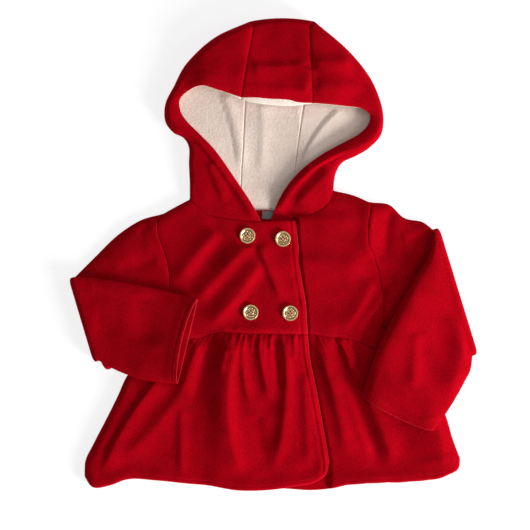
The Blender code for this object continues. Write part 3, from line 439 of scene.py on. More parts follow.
GATHER_RISE, GATHER_REACH, GATHER_LEVEL = 0.9, 15.0, 1.7
SWAY, SWAY_PITCH, SWAY_STEP = 2.2, 17.0, 7.0
HEM_TURN, HEM_BEAD, BEAD_PAST, BEAD_FADE = 6.0, 0.7, 1.5, 2.5
STITCH_SINK, STITCH_SINK_WIDTH = 0.9, 1.1
WAIST_STITCH, EDGE_STITCHED = 3.2, slice(4, -14)
HEM_BULK, HEM_REACH = 1.2, 20.0
BUTTON_NAMES = ("button_1", "button_2", "button_3", "button_4")
PRESS_REACH, PRESS_FADE, BUTTON_CLEAR = 17.0, 7.0, 0.05
# Each fold runs from (x0, y0) to (x1, y1), bowed sideways by bow. left and right are its widths on
# either side as one looks along it from start to end, spread is how much wider it ends, and rise
# is its height, or its depth where negative.
FOLD_COLUMNS = ("x0", "y0", "x1", "y1", "bow", "left", "right", "spread", "rise")
CHEST_FOLDS = (
    (-70, 30, -121, -32, 0, 10, 12, 1.1, 4.6),
    (-27, 18, -98, -58, 0, 9, 14, 1.1, 6.2),
    (-17, -8, -84, -90, 5, 9, 17, 1.0, 5.6),
    (-18, 12, 10, -54, -1, 9, 4, 1.0, 3.0),
    (-50, -92, 38, -93, 0, 8, 4, 1.0, 1.6),
)
UNDER_CHEST_FOLDS = (
    (16, 42, 106, 44, 0, 10, 18, 1.0, 3.6),
    (12, -9, 116, -10, 0, 12, 22, 1.0, 3.6),
    (124, 66, 118, -6, -2, 10, 14, 1.0, 3.0),
    (124, -32, 88, -92, 2, 7, 13, 1.0, 3.8),
    (136, -52, 102, -95, 0, 5, 8, 1.0, 2.6),
)
OVER_SKIRT_FOLDS = (
    (-178, -150, -226, -262, 0, 9, 8, 1.0, 1.8),
    (-143, -156, -211, -268, -6, 12, 4.5, 1.0, 4.2),
    (-93, -108, -113, -170, 0, 11, 5, 1.2, 3.6),
    (-108, -162, -188, -252, 5, 11, 9, 1.1, 3.4),
    (-114, -192, -114, -276, 0, 8, 6, 1.0, 2.6),
    (-76, -103, -98, -190, -2, 14, 6, 1.3, -3.0),
    (-57, -102, -66, -146, 0, 4, 7, 1.2, 2.6),
    (-50, -100, -54, -122, 0, 3, 3, 1.2, 1.6),
    (-45, -103, -40, -278, -15, 8, 22, 1.4, 7.5),
    (-36, -103, -28, -186, -5, 5, 4, 1.3, 2.8),
    (-26, -100, -27, -120, 0, 2.5, 2.5, 1.2, 1.2),
    (-17, -103, -4, -178, -3, 6, 4, 1.4, 3.4),
    (-5, -100, -3, -118, 0, 2.5, 3, 1.2, 1.5),
    (3, -103, 8, -168, 0, 6, 4, 1.2, -3.0),
    (13, -103, 2, -262, 8, 8, 6, 1.2, 4.0),
    (24, -100, 26, -130, 0, 3, 3, 1.2, 1.6),
    (38, -150, 44, -262, 0, 7, 6, 1.0, 2.0),
    (-22, -200, -8, -266, 0, 7, 12, 1.2, -1.8),
)
UNDER_SKIRT_FOLDS = (
    (52, -103, 90, -246, 4, 10, 6, 1.3, 3.8),
    (75, -104, 136, -268, 0, 7, 8, 1.3, -4.0),
    (90, -168, 122, -256, 0, 6, 5, 1.2, 1.6),
    (83, -104, 98, -146, 0, 4, 3.5, 1.2, 2.6),
    (97, -106, 110, -152, 0, 5, 3, 1.2, -2.6),
    (119, -176, 150, -256, 0, 11, 7, 1.2, 3.6),
    (200, -200, 212, -266, 0, 12, 26, 1.0, 5.0),
)


def roll(distance, width):
    """0 at an edge, 1 beyond width, a quarter of an ellipse between."""
    inside = np.clip(np.asarray(distance) / width, 0, 1)
    return np.sqrt(1 - (1 - inside)**2)


def ease(value):
    inside = np.clip(value, 0, 1)
    return inside * inside * (3 - 2 * inside)


def gap_to(run, x, y):
    """Distance in plan from the points x, y to a run of points."""
    dense = divided(run, GAP_POINTS)
    return np.sqrt((x[..., None] - dense[:, 0])**2 + (y[..., None] - dense[:, 1])**2).min(axis=-1)


def fold_rise(folds, x, y):
    """How far a table of folds lifts the cloth at x, y."""
    rise = np.zeros_like(x)
    for row in folds:
        fold = dict(zip(FOLD_COLUMNS, row))
        run = np.array((fold["x1"] - fold["x0"], fold["y1"] - fold["y0"]), float)
        length = np.linalg.norm(run)
        ahead = run / length
        dx, dy = x - fold["x0"], y - fold["y0"]
        place = (dx * ahead[0] + dy * ahead[1]) / length
        inside = np.clip(place, 0, 1)
        aside = dx * ahead[1] - dy * ahead[0] + fold["bow"] * 4 * inside * (1 - inside)
        width = np.where(aside > 0, fold["right"], fold["left"]) * (1 + (fold["spread"] - 1) * inside)
        fade = ease((place + FOLD_START) / FOLD_START_FADE) * ease((FOLD_END - place) / FOLD_END_FADE)
        rise = rise + fold["rise"] * np.exp(-(np.abs(aside) / width)**FOLD_CREST) * fade
    return rise


def rumple(x, y, size, seed):
    """Gentle unevenness between -1 and 1, in lumps of about the given size."""
    chance = np.random.default_rng(seed)
    total = np.zeros_like(x)
    for turn, shift, scale in zip(chance.uniform(0, math.tau, RUMPLE_WAVES),
                                  chance.uniform(0, math.tau, RUMPLE_WAVES),
                                  chance.uniform(*RUMPLE_PITCHES, RUMPLE_WAVES)):
        reach = (x * math.cos(turn) + y * math.sin(turn)) * math.tau / (size * 2 * scale)
        total += np.sin(reach + shift)
    return 2 * total / RUMPLE_WAVES


def soft_floor(value, bend=1.2):
    """Positive part of value, with a soft corner of the given size."""
    return 0.5 * (value + np.sqrt(value * value + bend * bend)) - 0.25 * bend


def edge_position(run, y):
    """x of a roughly upright run of points at height y."""
    order = np.argsort(run[:, 1])
    return np.interp(y, run[order, 1], run[order, 0])


def turned_edge(distance):
    """Lift of an edge that is turned under and topstitched, by distance from it."""
    bead = HEM_BEAD * ease((HEM_TURN + BEAD_PAST - distance) / BEAD_FADE)
    bulk = HEM_BULK * ease((HEM_REACH - distance) / (HEM_REACH - HEM_TURN))
    return bead + bulk - STITCH_SINK * np.exp(-((distance - HEM_TURN) / STITCH_SINK_WIDTH)**2)


def sewn_seam(distance, depth=SEAM_DIP, width=SEAM_WIDTH):
    """Dip of the cloth towards a sewn seam."""
    return -depth * np.exp(-(distance / width)**1.5)


def gathers(along_waist, below_waist):
    """Small puckers that a gathering thread leaves under the waist seam."""
    ripple = np.zeros_like(along_waist)
    for number, pitch in enumerate(GATHER_PITCHES):
        sway = SWAY * np.sin(along_waist / (SWAY_PITCH + SWAY_STEP * number) + number)
        ripple += np.sin(math.tau * along_waist / pitch + sway)
    return GATHER_RISE * ripple / GATHER_LEVEL * np.exp(-below_waist / GATHER_REACH)


lap_edge = joined(FRONT_EDGE, FRONT_EDGE_SKIRT)
under_edge = joined(UNDER_EDGE, UNDER_EDGE_SKIRT)
neck_over = joined(NECK_LEFT, ((-15, 42), (2, 43), (29, 43)))
neck_under = joined(((-49, 42), (-20, 42), (-4, 43)), NECK_RIGHT[::-1])


def seams_of_body(x, y):
    """Dips towards the waist, armhole, shoulder and neck seams."""
    dip = sewn_seam(gap_to(waist_all, x, y), WAIST_DIP, WAIST_WIDTH)
    for run in (joined(ARMHOLE_LEFT), joined(ARMHOLE_RIGHT), joined(SHOULDER_LEFT),
                joined(SHOULDER_RIGHT), neck_over, joined(NECK_RIGHT)):
        dip = np.minimum(dip, sewn_seam(gap_to(run, x, y)))
    return dip


def fullness(shoulder, side, hem, table, seed, x, y):
    """How full a front is, from 0 at its outer edges to 1 inside them, and the rise of its folds."""
    from_hem = gap_to(joined(hem), x, y)
    full = roll(gap_to(joined(shoulder), x, y), BODY_ROLL) * roll(gap_to(side, x, y), BODY_ROLL)
    folds = fold_rise(table, x, y) + seams_of_body(x, y) + turned_edge(from_hem)
    return (full * roll(from_hem, HEM_ROLL),
            folds + BODY_RUMPLE * rumple(x, y, BODY_RUMPLE_SIZE, seed))


def under_top(x, y, pucker):
    """Height of the under front: flat below the lap, full beside it."""
    edge, folds = fullness(SHOULDER_RIGHT, joined(SIDE_RIGHT, OUTLINE_RIGHT), HEM_UNDER,
                           UNDER_CHEST_FOLDS + UNDER_SKIRT_FOLDS, UNDER_SEED, x, y)
    past_lap = x - edge_position(lap_edge, y)
    dip = np.exp(-((y - LAP_DIP_Y) / LAP_DIP_SPAN)**2)
    step, reach = LAP_STEP - LAP_DIP * dip, LAP_REACH - LAP_DIP_REACH * dip
    beside = step * ease(LAP_BEFORE + past_lap / LAP_START)
    beside = beside + (1 - step) * ease((past_lap - LAP_AFTER) / reach)
    full = soft_floor(BODY_LOFT * edge + (folds + pucker) * np.sqrt(edge))
    return FLEECE + SEAM + FLEECE + beside * full


def pressed(height, x, y):
    """Cloth held flat under each of the sewn buttons."""
    for name in BUTTON_NAMES:
        low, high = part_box(name)
        away = np.hypot(x - (low[0] + high[0]) / 2 / MM, y - (low[1] + high[1]) / 2 / MM)
        press = ease((PRESS_REACH - away) / PRESS_FADE)
        height = height + (np.minimum(height, low[2] / MM - BUTTON_CLEAR) - height) * press
    return height


def over_top(x, y, pucker):
    """Height of the over front, which climbs on the under front and rests along its edge."""
    edge, folds = fullness(SHOULDER_LEFT, joined(SIDE_LEFT, OUTLINE_LEFT), HEM_OVER,
                           CHEST_FOLDS + OVER_SKIRT_FOLDS, OVER_SEED, x, y)
    climb = ease((x - edge_position(under_edge, y) + LAP_CLIMB + LAP_CLIMB_EARLY) / LAP_CLIMB)
    free = edge_position(lap_edge, y) - x
    rest = LAP_THIN + (1 - LAP_THIN) * ease(free / LAP_REST)
    folds = folds + pucker + EDGE_ROLL * np.exp(-((free - EDGE_HEM / 2) / EDGE_ROLL_WIDTH)**2)
    folds = folds - EDGE_SINK * np.exp(-((free - EDGE_HEM) / EDGE_SINK_WIDTH)**2)
    full = soft_floor((BODY_LOFT - LAP_TIGHT * climb) * edge * rest + folds * np.sqrt(edge) * rest)
    return pressed(FLEECE + SEAM + FLEECE + climb * (FLEECE + OVER) + full, x, y)


over_neck = np.concatenate((joined(SHOULDER_LEFT), neck_over[1:]))
under_neck = np.concatenate((neck_under, joined(SHOULDER_RIGHT[::-1])[1:]))
waist_over, waist_under = joined(WAIST_OVER), joined(WAIST_UNDER)
fronts = []
# Each row has the solid, its width in plan, the runs along its upper, lower, left and right edges,
# the height of its cloth, its finished edges, its flat size and its area.
for solid, width, above, below, left, right, top, free, flat, area in (
        ("front_over_bodice", 190, over_neck, waist_over, arm_side_left, joined(FRONT_EDGE),
         over_top, ("right",), (0.20, 0.175), 0.029),
        ("front_under_bodice", 205, under_neck, waist_under, joined(UNDER_EDGE), arm_side_right,
         under_top, ("left",), (0.20, 0.19), 0.030),
        ("front_over_skirt", 270, waist_over, joined(HEM_OVER), joined(OUTLINE_LEFT),
         joined(FRONT_EDGE_SKIRT), over_top, ("right", "bottom"), (0.33, 0.185), 0.056),
        ("front_under_skirt", 250, waist_under, joined(HEM_UNDER), joined(UNDER_EDGE_SKIRT),
         joined(OUTLINE_RIGHT), under_top, ("left", "bottom"), (0.33, 0.185), 0.053)):
    bodice = solid.endswith("bodice")
    height, shifts = (BODICE_HEIGHT, (-SEAM_STEP, SEAM)) if bodice else (SKIRT_HEIGHT, (-SEAM, 0))
    across, down = int(width / CLOTH_STEP), int(height / CLOTH_STEP)
    above, below = (divided(run, across, (0, shift)) for run, shift in zip((above, below), shifts))
    plan = patch(above, below, divided(left, down), divided(right, down))
    if bodice:
        plan[0], plan[-1] = above, below
    x, y = plan[..., 0], plan[..., 1]
    pucker = np.zeros_like(x)
    if not bodice:
        pucker = gathers(lengths(plan[0]) + pucker, lengths(plan[:, len(plan[0]) // 2])[:, None] + pucker)
    height = top(x, y, pucker)
    piece = cloth(solid, raised(plan, height), raised(plan, height - FLEECE), red_fleece,
                  free)
    fronts.append(piece)

for name, path, top in (("waist_seam_over", WAIST_OVER, over_top),
                        ("waist_seam_under", WAIST_UNDER, under_top),
                        ("neck_seam_left", NECK_LEFT, over_top),
                        ("neck_seam_right", NECK_RIGHT, under_top),
                        ("armhole_seam_left", ARMHOLE_LEFT, over_top),
                        ("armhole_seam_right", ARMHOLE_RIGHT, under_top)):
    run = divided(joined(path), LONG_SEAM)
    seam_thread(name, run, top(run[:, 0], run[:, 1], 0.0))

for name, run, top in (
        ("waist_stitches_over", divided(joined(WAIST_OVER), 300, (0, WAIST_STITCH)), over_top),
        ("waist_stitches_under", divided(joined(WAIST_UNDER[2:]), 150, (0, WAIST_STITCH)), under_top),
        ("edge_stitches", divided(lap_edge, 400, (-EDGE_HEM, 0))[EDGE_STITCHED], over_top),
        ("hem_stitches_over", divided(joined(HEM_OVER[2:-2]), 400, (0, HEM_TURN + 1)), over_top),
        ("hem_stitches_under", divided(joined(HEM_UNDER[5:-2]), 250, (0, HEM_TURN + 1)), under_top)):
    topstitch(name, np.column_stack((run, top(run[:, 0], run[:, 1], 0.0))))

# Hood
# Two red sides and a centre strip that runs from the forehead over the top to the neck. The hood
# lies open, so the outline is where each side turns under, and the cream lining shows between
# the rims. The rim is turned in, and a lip of lining rolls out at the crown.
PILE_LINING = 1.8
HOOD_ROWS, HOOD_TOP, HOOD_TURN, HOOD_FLOOR = 132, 42, 14, 30
STRIP_ACROSS = 34
CROWN_BULGE, RIM_BOW = 4.0, 1.5
HOOD_COLUMNS = ("along", "rim_x", "rim_y", "edge_x", "edge_y", "seam_x", "seam_y", "turn", "rim")
HOOD_LEFT = (
    (0.00, -15, 42, -104, 70, -42, 58, 10.5, 10.5),
    (0.12, -28, 66, -104, 92, -41, 78, 13, 12),
    (0.24, -48, 96, -105, 114, -40, 104, 14, 13),
    (0.35, -72, 130, -105, 134, -38, 130, 14, 14),
    (0.45, -92, 151, -112, 146, -37, 152, 14, 14),
    (0.54, -107, 166, -125, 153, -36, 174, 14, 14),
    (0.63, -115, 179, -135, 169, -35, 192, 14, 14),
    (0.70, -116, 192, -134, 189, -34, 206, 15, 15),
    (0.77, -107, 202, -124, 209, -33, 222, 17, 17),
    (0.85, -89, 209, -107, 239, -32, 238, 19, 17),
    (0.93, -66, 203, -71, 271, -31, 256, 21, 18),
    (1.00, -40, 195, -29, 290, -30, 268, 21, 18),
)
HOOD_RIGHT = (
    (0.00, -4, 43, 75, 81, 22, 58, 10.5, 10.5),
    (0.12, 12, 78, 76, 93, 24, 78, 13, 12),
    (0.24, 34, 105, 79, 105, 27, 104, 14, 13),
    (0.35, 62, 126, 87, 116, 30, 130, 14, 14),
    (0.45, 88, 140, 104, 124, 33, 152, 14, 14),
    (0.54, 106, 150, 120, 134, 36, 174, 14, 14),
    (0.63, 118, 163, 135, 152, 39, 192, 14, 14),
    (0.70, 119, 175, 137, 173, 42, 206, 15, 15),
    (0.77, 107, 182, 132, 195, 45, 222, 17, 17),
    (0.85, 91, 184, 118, 224, 48, 238, 19, 17),
    (0.93, 71, 186, 90, 257, 50, 256, 21, 18),
    (1.00, 49, 188, 51, 290, 51, 268, 21, 18),
)
HOOD_FOLDS = (
    (-104, 206, 108, 190, 8, 66, 12, 1.0, 7.0),
    (-26, 232, 44, 236, -3, 6, 12, 1.0, 3.6),
    (-38, 288, -36, 205, 0, 16, 34, 1.0, 3.0),
    (47, 230, 38, 196, 0, 5, 12, 1.0, 3.4),
    (52, 236, 98, 238, 0, 8, 10, 1.0, 3.0),
    (54, 206, 112, 206, 0, 9, 7, 1.0, 2.4),
    (-80, 114, -60, 66, 0, 8, 4, 1.0, 2.4),
    (72, 106, 26, 58, 0, 12, 8, 1.0, 3.6),
)
LINING_FOLDS = (
    (-70, 203, -47, 108, 4, 1.2, 1.2, 1.0, -1.2),
    (-61, 203, -38, 108, 4, 8, 8, 1.0, 2.2),
    (-14, 190, -16, 100, 2, 10, 6, 1.0, 1.4),
    (30, 192, 34, 148, 0, 4, 4, 1.0, 0.8),
    (79, 183, 29, 105, -7, 1.2, 1.2, 1.0, -1.2),
    (84, 183, 33, 105, -7, 14, 3, 1.0, 2.2),
)
HOOD_SEAM_DIP, HOOD_RUMPLE_SIZE, HOOD_SEED, UPPER_FADE, FLOOR_LEVEL = 0.8, 20, 7, 0.4, 0.01
RIM_HEM, RIM_HEM_SINK, RIM_HEM_WIDTH, RIM_SOFT, RIM_SOFT_REACH = 21.0, 0.35, 2.4, 1.2, 3.0
NECK_BLEND, NECK_REACH, NECK_FLAT, NECK_SMOOTH, NECK_SAG, NECK_POINTS = 0.10, 0.08, 0.06, 6, 0.3, 41
RIM_ROLL, ROLL_IN, ROLL_OUT = 2.8, 9.0, 5.0
ROLL_NECK, ROLL_FULL, ROLL_GROWN, ROLL_END, ROLL_FADE = 7.0, 14.0, 0.35, 0.78, 0.18
LIP_REACH, LIP_FADE, LIP_RISE, LIP_X, LIP_SPAN = 5.0, 14.0, 0.25, -2.0, 40.0
PILE_THIN, PILE_TAPER_SIDE, PILE_TAPER_CENTRE, LINING_BEND, LINING_LEVEL = 0.3, 0.06, 0.04, 0.6, 3.0
CREAM_DARK = (0.78, 0.60, 0.51)
CREAM_LIGHT = (0.93, 0.80, 0.71)
# The cream tip colour serves the fibre tips, the painted highlight along finished edges and the sheen tint.
CREAM_TIP_AND_HIGHLIGHT = (1.0, 0.93, 0.87)
CREAM_GRAIN, CREAM_SHEEN = 1100.0, 0.25


def read(columns, rows, places):
    """Each named column of a table at the given places of its first column."""
    values = np.array(rows, float)
    smooth = smooth_at(values[:, 0], values, np.asarray(places, float))
    return {name: smooth[:, index] for index, name in enumerate(columns)}


def hood_side_grid(rows, neck):
    """Points of a hood side, row by row from the neck seam to the crown seam.

    A row starts at the front rim, crosses the upper layer, turns under at the outline and
    runs over the surface below to the back seam.
    """
    places = np.linspace(0, 1, HOOD_ROWS + 1)
    sizes = read(HOOD_COLUMNS, rows, places)
    rim, edge, seam = (np.stack((sizes[part + "_x"], sizes[part + "_y"]), axis=1)
                       for part in ("rim", "edge", "seam"))
    tangent = np.gradient(edge, axis=0)
    inward = np.stack((-tangent[:, 1], tangent[:, 0]), axis=1)
    inward *= np.sign(((seam - edge) * inward).sum(axis=1))[:, None]
    inward /= np.linalg.norm(inward, axis=1)[:, None]
    ends = np.array((neck[0], neck[-1]), float)
    share = np.linspace(0, 1, NECK_POINTS)
    dip = along(neck, share) - ends[0] - share[:, None] * (ends[1] - ends[0])
    grid = []
    for row, place in enumerate(places):
        radius = sizes["turn"][row] / 2
        start = edge[row] + inward[row] * radius
        points = []
        for step in np.linspace(0, 1, HOOD_TOP + 1)[:-1]:
            spot = rim[row] + (start - rim[row]) * step
            height = sizes["rim"][row] + (sizes["turn"][row] - sizes["rim"][row]) * ease(step)
            points.append((*spot, height))
        for angle in np.linspace(math.pi / 2, -math.pi / 2, HOOD_TURN + 1):
            spot = edge[row] + inward[row] * radius * (1 - math.cos(angle))
            points.append((*spot, radius + radius * math.sin(angle)))
        for step in np.linspace(0, 1, HOOD_FLOOR + 1)[1:]:
            points.append((*(start + (seam[row] - start) * step), 0.0))
        points = np.array(points)
        over = np.linspace(1, 0, HOOD_TOP + 1)
        sag = np.stack([np.interp(over, share, dip[:, k]) for k in (0, 1)], axis=1)
        points[:HOOD_TOP + 1, :2] += sag * ease(1 - place / NECK_SAG)
        if row == 0:
            close = along(neck, np.linspace(0, 1, CLOSE_POINTS))
            close = close[np.argsort(close[:, 0])]
            to_neck = np.interp(points[:, 0], close[:, 0], close[:, 1]) - points[:, 1]
            half = HOOD_TOP + HOOD_TURN // 2
            to_neck *= ease(1 - (np.arange(len(points)) - half) / (HOOD_TURN / 2))
        points[:, 1] += to_neck * ease(1 - place / NECK_REACH)
        grid.append(points)
    return np.array(grid)


def normals_of(grid):
    """Unit normals of a grid of points, towards its outer side (down on the surface below)."""
    normals = np.cross(np.gradient(grid, axis=0), np.gradient(grid, axis=1))
    normals /= np.linalg.norm(normals, axis=2)[..., None]
    floor = grid[..., 2] < FLOOR_LEVEL
    if normals[floor][:, 2].mean() > 0:
        normals = -normals
    normals[floor] = (0, 0, -1)
    return normals


def seam_run(grid):
    """The crown seam of a hood side: its last row, then its last column down to the neck."""
    return np.concatenate((grid[-1], grid[-2::-1, -1]))


def put_seam_run(grid, run):
    columns = grid.shape[1]
    grid[-1] = run[:columns]
    grid[-2::-1, -1] = run[columns:]


def strip_grid(left, right):
    """Points of the hood centre between its two seams, from the rim over the top to the neck."""
    share = np.linspace(0, 1, STRIP_ACROSS + 1)[None, :, None]
    inset = np.array((SEAM_STEP, 0, 0))
    strip = (left + inset)[:, None] * (1 - share) + (right - inset)[:, None] * share
    bow = 4 * share[0, :, 0] * (1 - share[0, :, 0])
    height = (left[:, 1] + right[:, 1]) / 2
    crown = ease((height - height[0]) / (height.max() - height[0]))
    rim = np.zeros(len(left))
    rim[:HOOD_TOP] = 1 - np.linspace(0, 1, HOOD_TOP)
    strip[..., 1] += crown[:, None] * CROWN_BULGE * bow[None] - rim[:, None] * RIM_BOW * bow[None]
    return strip


def upper_share(grid, fullest):
    """1 on the upper layer of the hood, 0 where it has turned under half of its fullest height."""
    return ease((grid[..., 2] / fullest - 0.5) / UPPER_FADE)


cream_lining = fleece("cream_lining", CREAM_DARK, CREAM_LIGHT, CREAM_TIP_AND_HIGHLIGHT, CREAM_TIP_AND_HIGHLIGHT, CREAM_GRAIN,
                      CREAM_SHEEN)
hood = {"left": hood_side_grid(HOOD_LEFT, NECK_LEFT), "right": hood_side_grid(HOOD_RIGHT, NECK_RIGHT)}
hood["centre"] = strip_grid(seam_run(hood["left"]), seam_run(hood["right"]))
hood_normals = {side: normals_of(grid) for side, grid in hood.items()}
hood_normals["centre"][-1] = (0, 0, -1)
for side, column in (("left", 0), ("right", -1)):
    own = hood_normals[side]
    own[0, :, 1] = 0
    own[0] /= np.linalg.norm(own[0], axis=1)[:, None]
    shared = seam_run(own) + hood_normals["centre"][:, column]
    shared /= np.linalg.norm(shared, axis=1)[:, None]
    put_seam_run(own, shared)
    hood_normals["centre"][:, column] = shared

for side, top in (("left", over_top), ("right", under_top)):
    grid = hood[side]
    wanted = top(grid[0, :HOOD_TOP + 1, 0], grid[0, :HOOD_TOP + 1, 1], 0.0)
    wanted = np.convolve(np.pad(wanted, NECK_SMOOTH, mode="edge"),
                         np.ones(2 * NECK_SMOOTH + 1) / (2 * NECK_SMOOTH + 1), mode="valid")
    wanted = wanted / grid[0, :HOOD_TOP + 1, 2]
    wanted = np.concatenate((wanted, np.full(grid.shape[1] - HOOD_TOP - 1, wanted[-1])))
    fade = ease(1 - np.linspace(0, 1, HOOD_ROWS + 1) / NECK_BLEND)[:, None]
    grid[..., 2] *= 1 + (wanted[None] - 1) * fade
hood_pieces, hood_shapes = {}, {}
for side, grid in hood.items():
    facing = hood_normals[side]
    x, y = grid[..., 0], grid[..., 1]
    place = np.linspace(0, 1, len(grid))[:, None]
    if side == "centre":
        part, rim_side = "centre", ("top",)
        from_seam = np.minimum(np.linalg.norm(grid - grid[:, :1], axis=2),
                               np.linalg.norm(grid - grid[:, -1:], axis=2))
        from_rim = lengths(grid[:, STRIP_ACROSS // 2])[:, None] + 0 * x
        upper = upper_share(grid, grid[:HOOD_TOP, :, 2].max())
        full = ease((1 - place) / PILE_TAPER_CENTRE)
    else:
        part, rim_side = "side_" + side, ("left",)
        from_seam = np.linalg.norm(grid - grid[-1:], axis=2)
        from_rim = np.linalg.norm(grid - grid[:, :1], axis=2)
        upper = upper_share(grid, grid[..., 2].max(axis=1, keepdims=True))
        upper = upper * (1 - ease((np.arange(grid.shape[1])[None, :] - HOOD_TOP) / HOOD_TURN))
        full = ease(place / PILE_TAPER_SIDE)
    lift = fold_rise(HOOD_FOLDS, x, y) + BODY_RUMPLE * rumple(x, y, HOOD_RUMPLE_SIZE, HOOD_SEED)
    lift += sewn_seam(from_seam, HOOD_SEAM_DIP)
    lift -= RIM_SOFT * np.exp(-(from_rim / RIM_SOFT_REACH)**1.5)
    lift -= RIM_HEM_SINK * np.exp(-((from_rim - RIM_HEM) / RIM_HEM_WIDTH)**2)
    if side != "centre":
        past_roll = from_rim - ROLL_NECK - (ROLL_FULL - ROLL_NECK) * ease(place / ROLL_GROWN)
        width = np.where(past_roll > 0, ROLL_OUT, ROLL_IN)
        lift += RIM_ROLL * np.exp(-(past_roll / width)**2) * ease((ROLL_END - place) / ROLL_FADE)
        lift *= ease(place / NECK_FLAT)
    shaped = grid.copy()
    shaped[..., 2] += lift * upper
    hood_shapes[side] = shaped
    solid = "hood_" + part
    hood_pieces[solid] = cloth(solid, shaped, shaped - facing * FLEECE, red_fleece, rim_side)

    near = FLEECE + SEAM
    far = (near + PILE_LINING * (PILE_THIN + (1 - PILE_THIN) * full))[..., None]
    outer, inner = shaped - facing * near, shaped - facing * far
    fold = soft_floor(fold_rise(LINING_FOLDS, x, y), LINING_BEND) * ease(1 - grid[..., 2] / LINING_LEVEL)
    lip = LIP_REACH * ease(1 - from_rim / LIP_FADE) * upper * np.exp(-((x - LIP_X) / LIP_SPAN)**4)
    for layer in (outer, inner):
        layer[..., 2] += fold + LIP_RISE * lip
        layer[..., 1] -= lip
    solid = "lining_" + part
    hood_pieces[solid] = cloth(solid, outer, inner, cream_lining, rim_side, ending="_pile")

for side, out in (("left", 1), ("right", -1)):
    run, facing = seam_run(hood_shapes[side]), seam_run(hood_normals[side])
    run = run + (out * SEAM_STEP / 2, 0, 0)
    thread("crown_seam_" + side, run - facing * SEAM_SINK, red_fleece)
    thread("lining_seam_" + side, run - facing * (FLEECE + SEAM + PILE_LINING / 2), cream_lining)

# Sleeves
# Each sleeve is one tube of red fleece from the armhole to a turned and topstitched cuff, folded
# at the elbow so that the forearm lies over the front.
ARM_ACROSS = 64
UPPER_ROWS, ELBOW_ROWS, FOREARM_ROWS = 60, 22, 96
ELBOW_ROOM = 0.9
ARM_TOP_ROLL, ARM_FLOOR_ROLL, FOREARM_ROLL = 20.0, 6.0, 13.0
DRAPE, DRAPE_SPREAD, DRAPE_PASSES = 1.0, 6.0, 700
CUFF_RECESS_LEFT, CUFF_RECESS_RIGHT, CUFF_ROWS, CUFF_BOW = 7.0, -5.0, 24, 1.5
ARMHOLE_REACH, ELBOW_BEFORE, ELBOW_PAST, ELBOW_FADE = 0.5, 14.0, 0.7, 1.2
ARM_RUMPLE, UPPER_RUMPLE_SIZE, FORE_RUMPLE_SIZE, LEFT_SEED, RIGHT_SEED = 0.6, 20, 24, 11, 17
SLEEVE_SEAM_EASE, CUFF_STITCH_ROW, ABOVE_ALL = 0.3, -5, 500.0
ARM_COLUMNS = ("along", "up_x", "up_y", "low_x", "low_y", "height")
UPPER_ARM_LEFT = (
    (0.00, -139, 51, -129, -60, 10.7),
    (0.22, -164, 44, -152, -76, 9.5),
    (0.48, -194, 25, -176, -104, 8.4),
    (0.74, -222, -2, -194, -135, 7.5),
    (0.90, -238, -18, -209, -142, 7.0),
    (1.00, -247, -27, -216, -131, 7.0),
)
FOREARM_LEFT = (
    (0.00, -247, -27, -216, -131, 7.0),
    (0.14, -228, -28, -204, -138, 7.2),
    (0.35, -197, -32, -184, -147, 8.5),
    (0.60, -158, -39, -156, -155, 9.5),
    (0.80, -126, -46, -138, -157, 10.5),
    (1.00, -93, -54, -118, -159, 12.0),
)
UPPER_ARM_RIGHT = (
    (0.00, 121, 66, 137, -90, 10.7),
    (0.26, 146, 62, 160, -100, 9.5),
    (0.45, 161, 48, 184, -110, 8.5),
    (0.78, 187, 41, 222, -124, 7.3),
    (1.00, 199, 32, 247, -125, 7.0),
)
FOREARM_RIGHT = (
    (0.00, 199, 32, 247, -125, 7.0),
    (0.12, 196, 9, 245, -140, 7.2),
    (0.32, 178, -24, 237, -157, 8.5),
    (0.56, 150, -72, 224, -180, 9.5),
    (0.78, 128, -118, 211, -199, 10.2),
    (1.00, 109, -174, 197, -217, 10.2),
)
UPPER_ARM_FOLDS_LEFT = (
    (-156, 38, -168, 26, 0, 7, 7, 1.0, -2.0),
    (-150, 16, -206, -8, 3, 12, 12, 1.2, 1.4),
    (-146, -4, -196, -20, 2, 7, 7, 1.2, -1.4),
)
UPPER_ARM_FOLDS_RIGHT = (
    (124, 64, 118, 0, -2, 10, 3, 1.0, 3.6),
    (148, 58, 140, -4, -3, 8, 7, 1.0, -3.2),
    (160, 20, 196, 34, 2, 6, 6, 1.0, 2.0),
    (128, -4, 168, 6, 0, 7, 7, 1.0, -1.4),
    (146, -40, 126, -66, 2, 5, 5, 1.2, 2.0),
    (140, -42, 120, -92, 3, 5, 6, 1.2, -2.4),
)
FOREARM_FOLDS_LEFT = (
    (-225, -88, -132, -100, 0, 20, 16, 1.0, -2.0),
    (-166, -50, -160, -112, 0, 20, 14, 1.0, -1.8),
    (-232, -34, -176, -46, -2, 9, 7, 1.2, 1.2),
)
FOREARM_FOLDS_RIGHT = (
    (206, 18, 124, -136, 0, 36, 7, 1.0, 8.0),
    (112, -160, 206, -206, 0, 22, 8, 1.0, 4.6),
    (177, -96, 172, -164, 0, 9, 9, 1.0, 3.0),
    (242, -78, 216, -178, 2, 12, 18, 1.0, 6.5),
)


def surface_below(pieces):
    """A function that gives the highest cloth of these pieces under a point, or the floor."""
    vertices, faces = [], []
    for piece in pieces:
        start = len(vertices)
        vertices += [v.co / MM for v in piece.data.vertices]
        faces += [[start + k for k in face.vertices] for face in piece.data.polygons]
    tree = BVHTree.FromPolygons(vertices, faces)

    def height(x, y):
        hit = tree.ray_cast(Vector((x, y, ABOVE_ALL)), Vector((0, 0, -1)))
        return hit[0].z if hit[0] is not None else 0.0

    return height


def arm_shares():
    """Fractions across a flattened sleeve, closer together at its two edges."""
    return 0.5 - 0.5 * np.cos(math.pi * np.linspace(0, 1, ARM_ACROSS + 1))


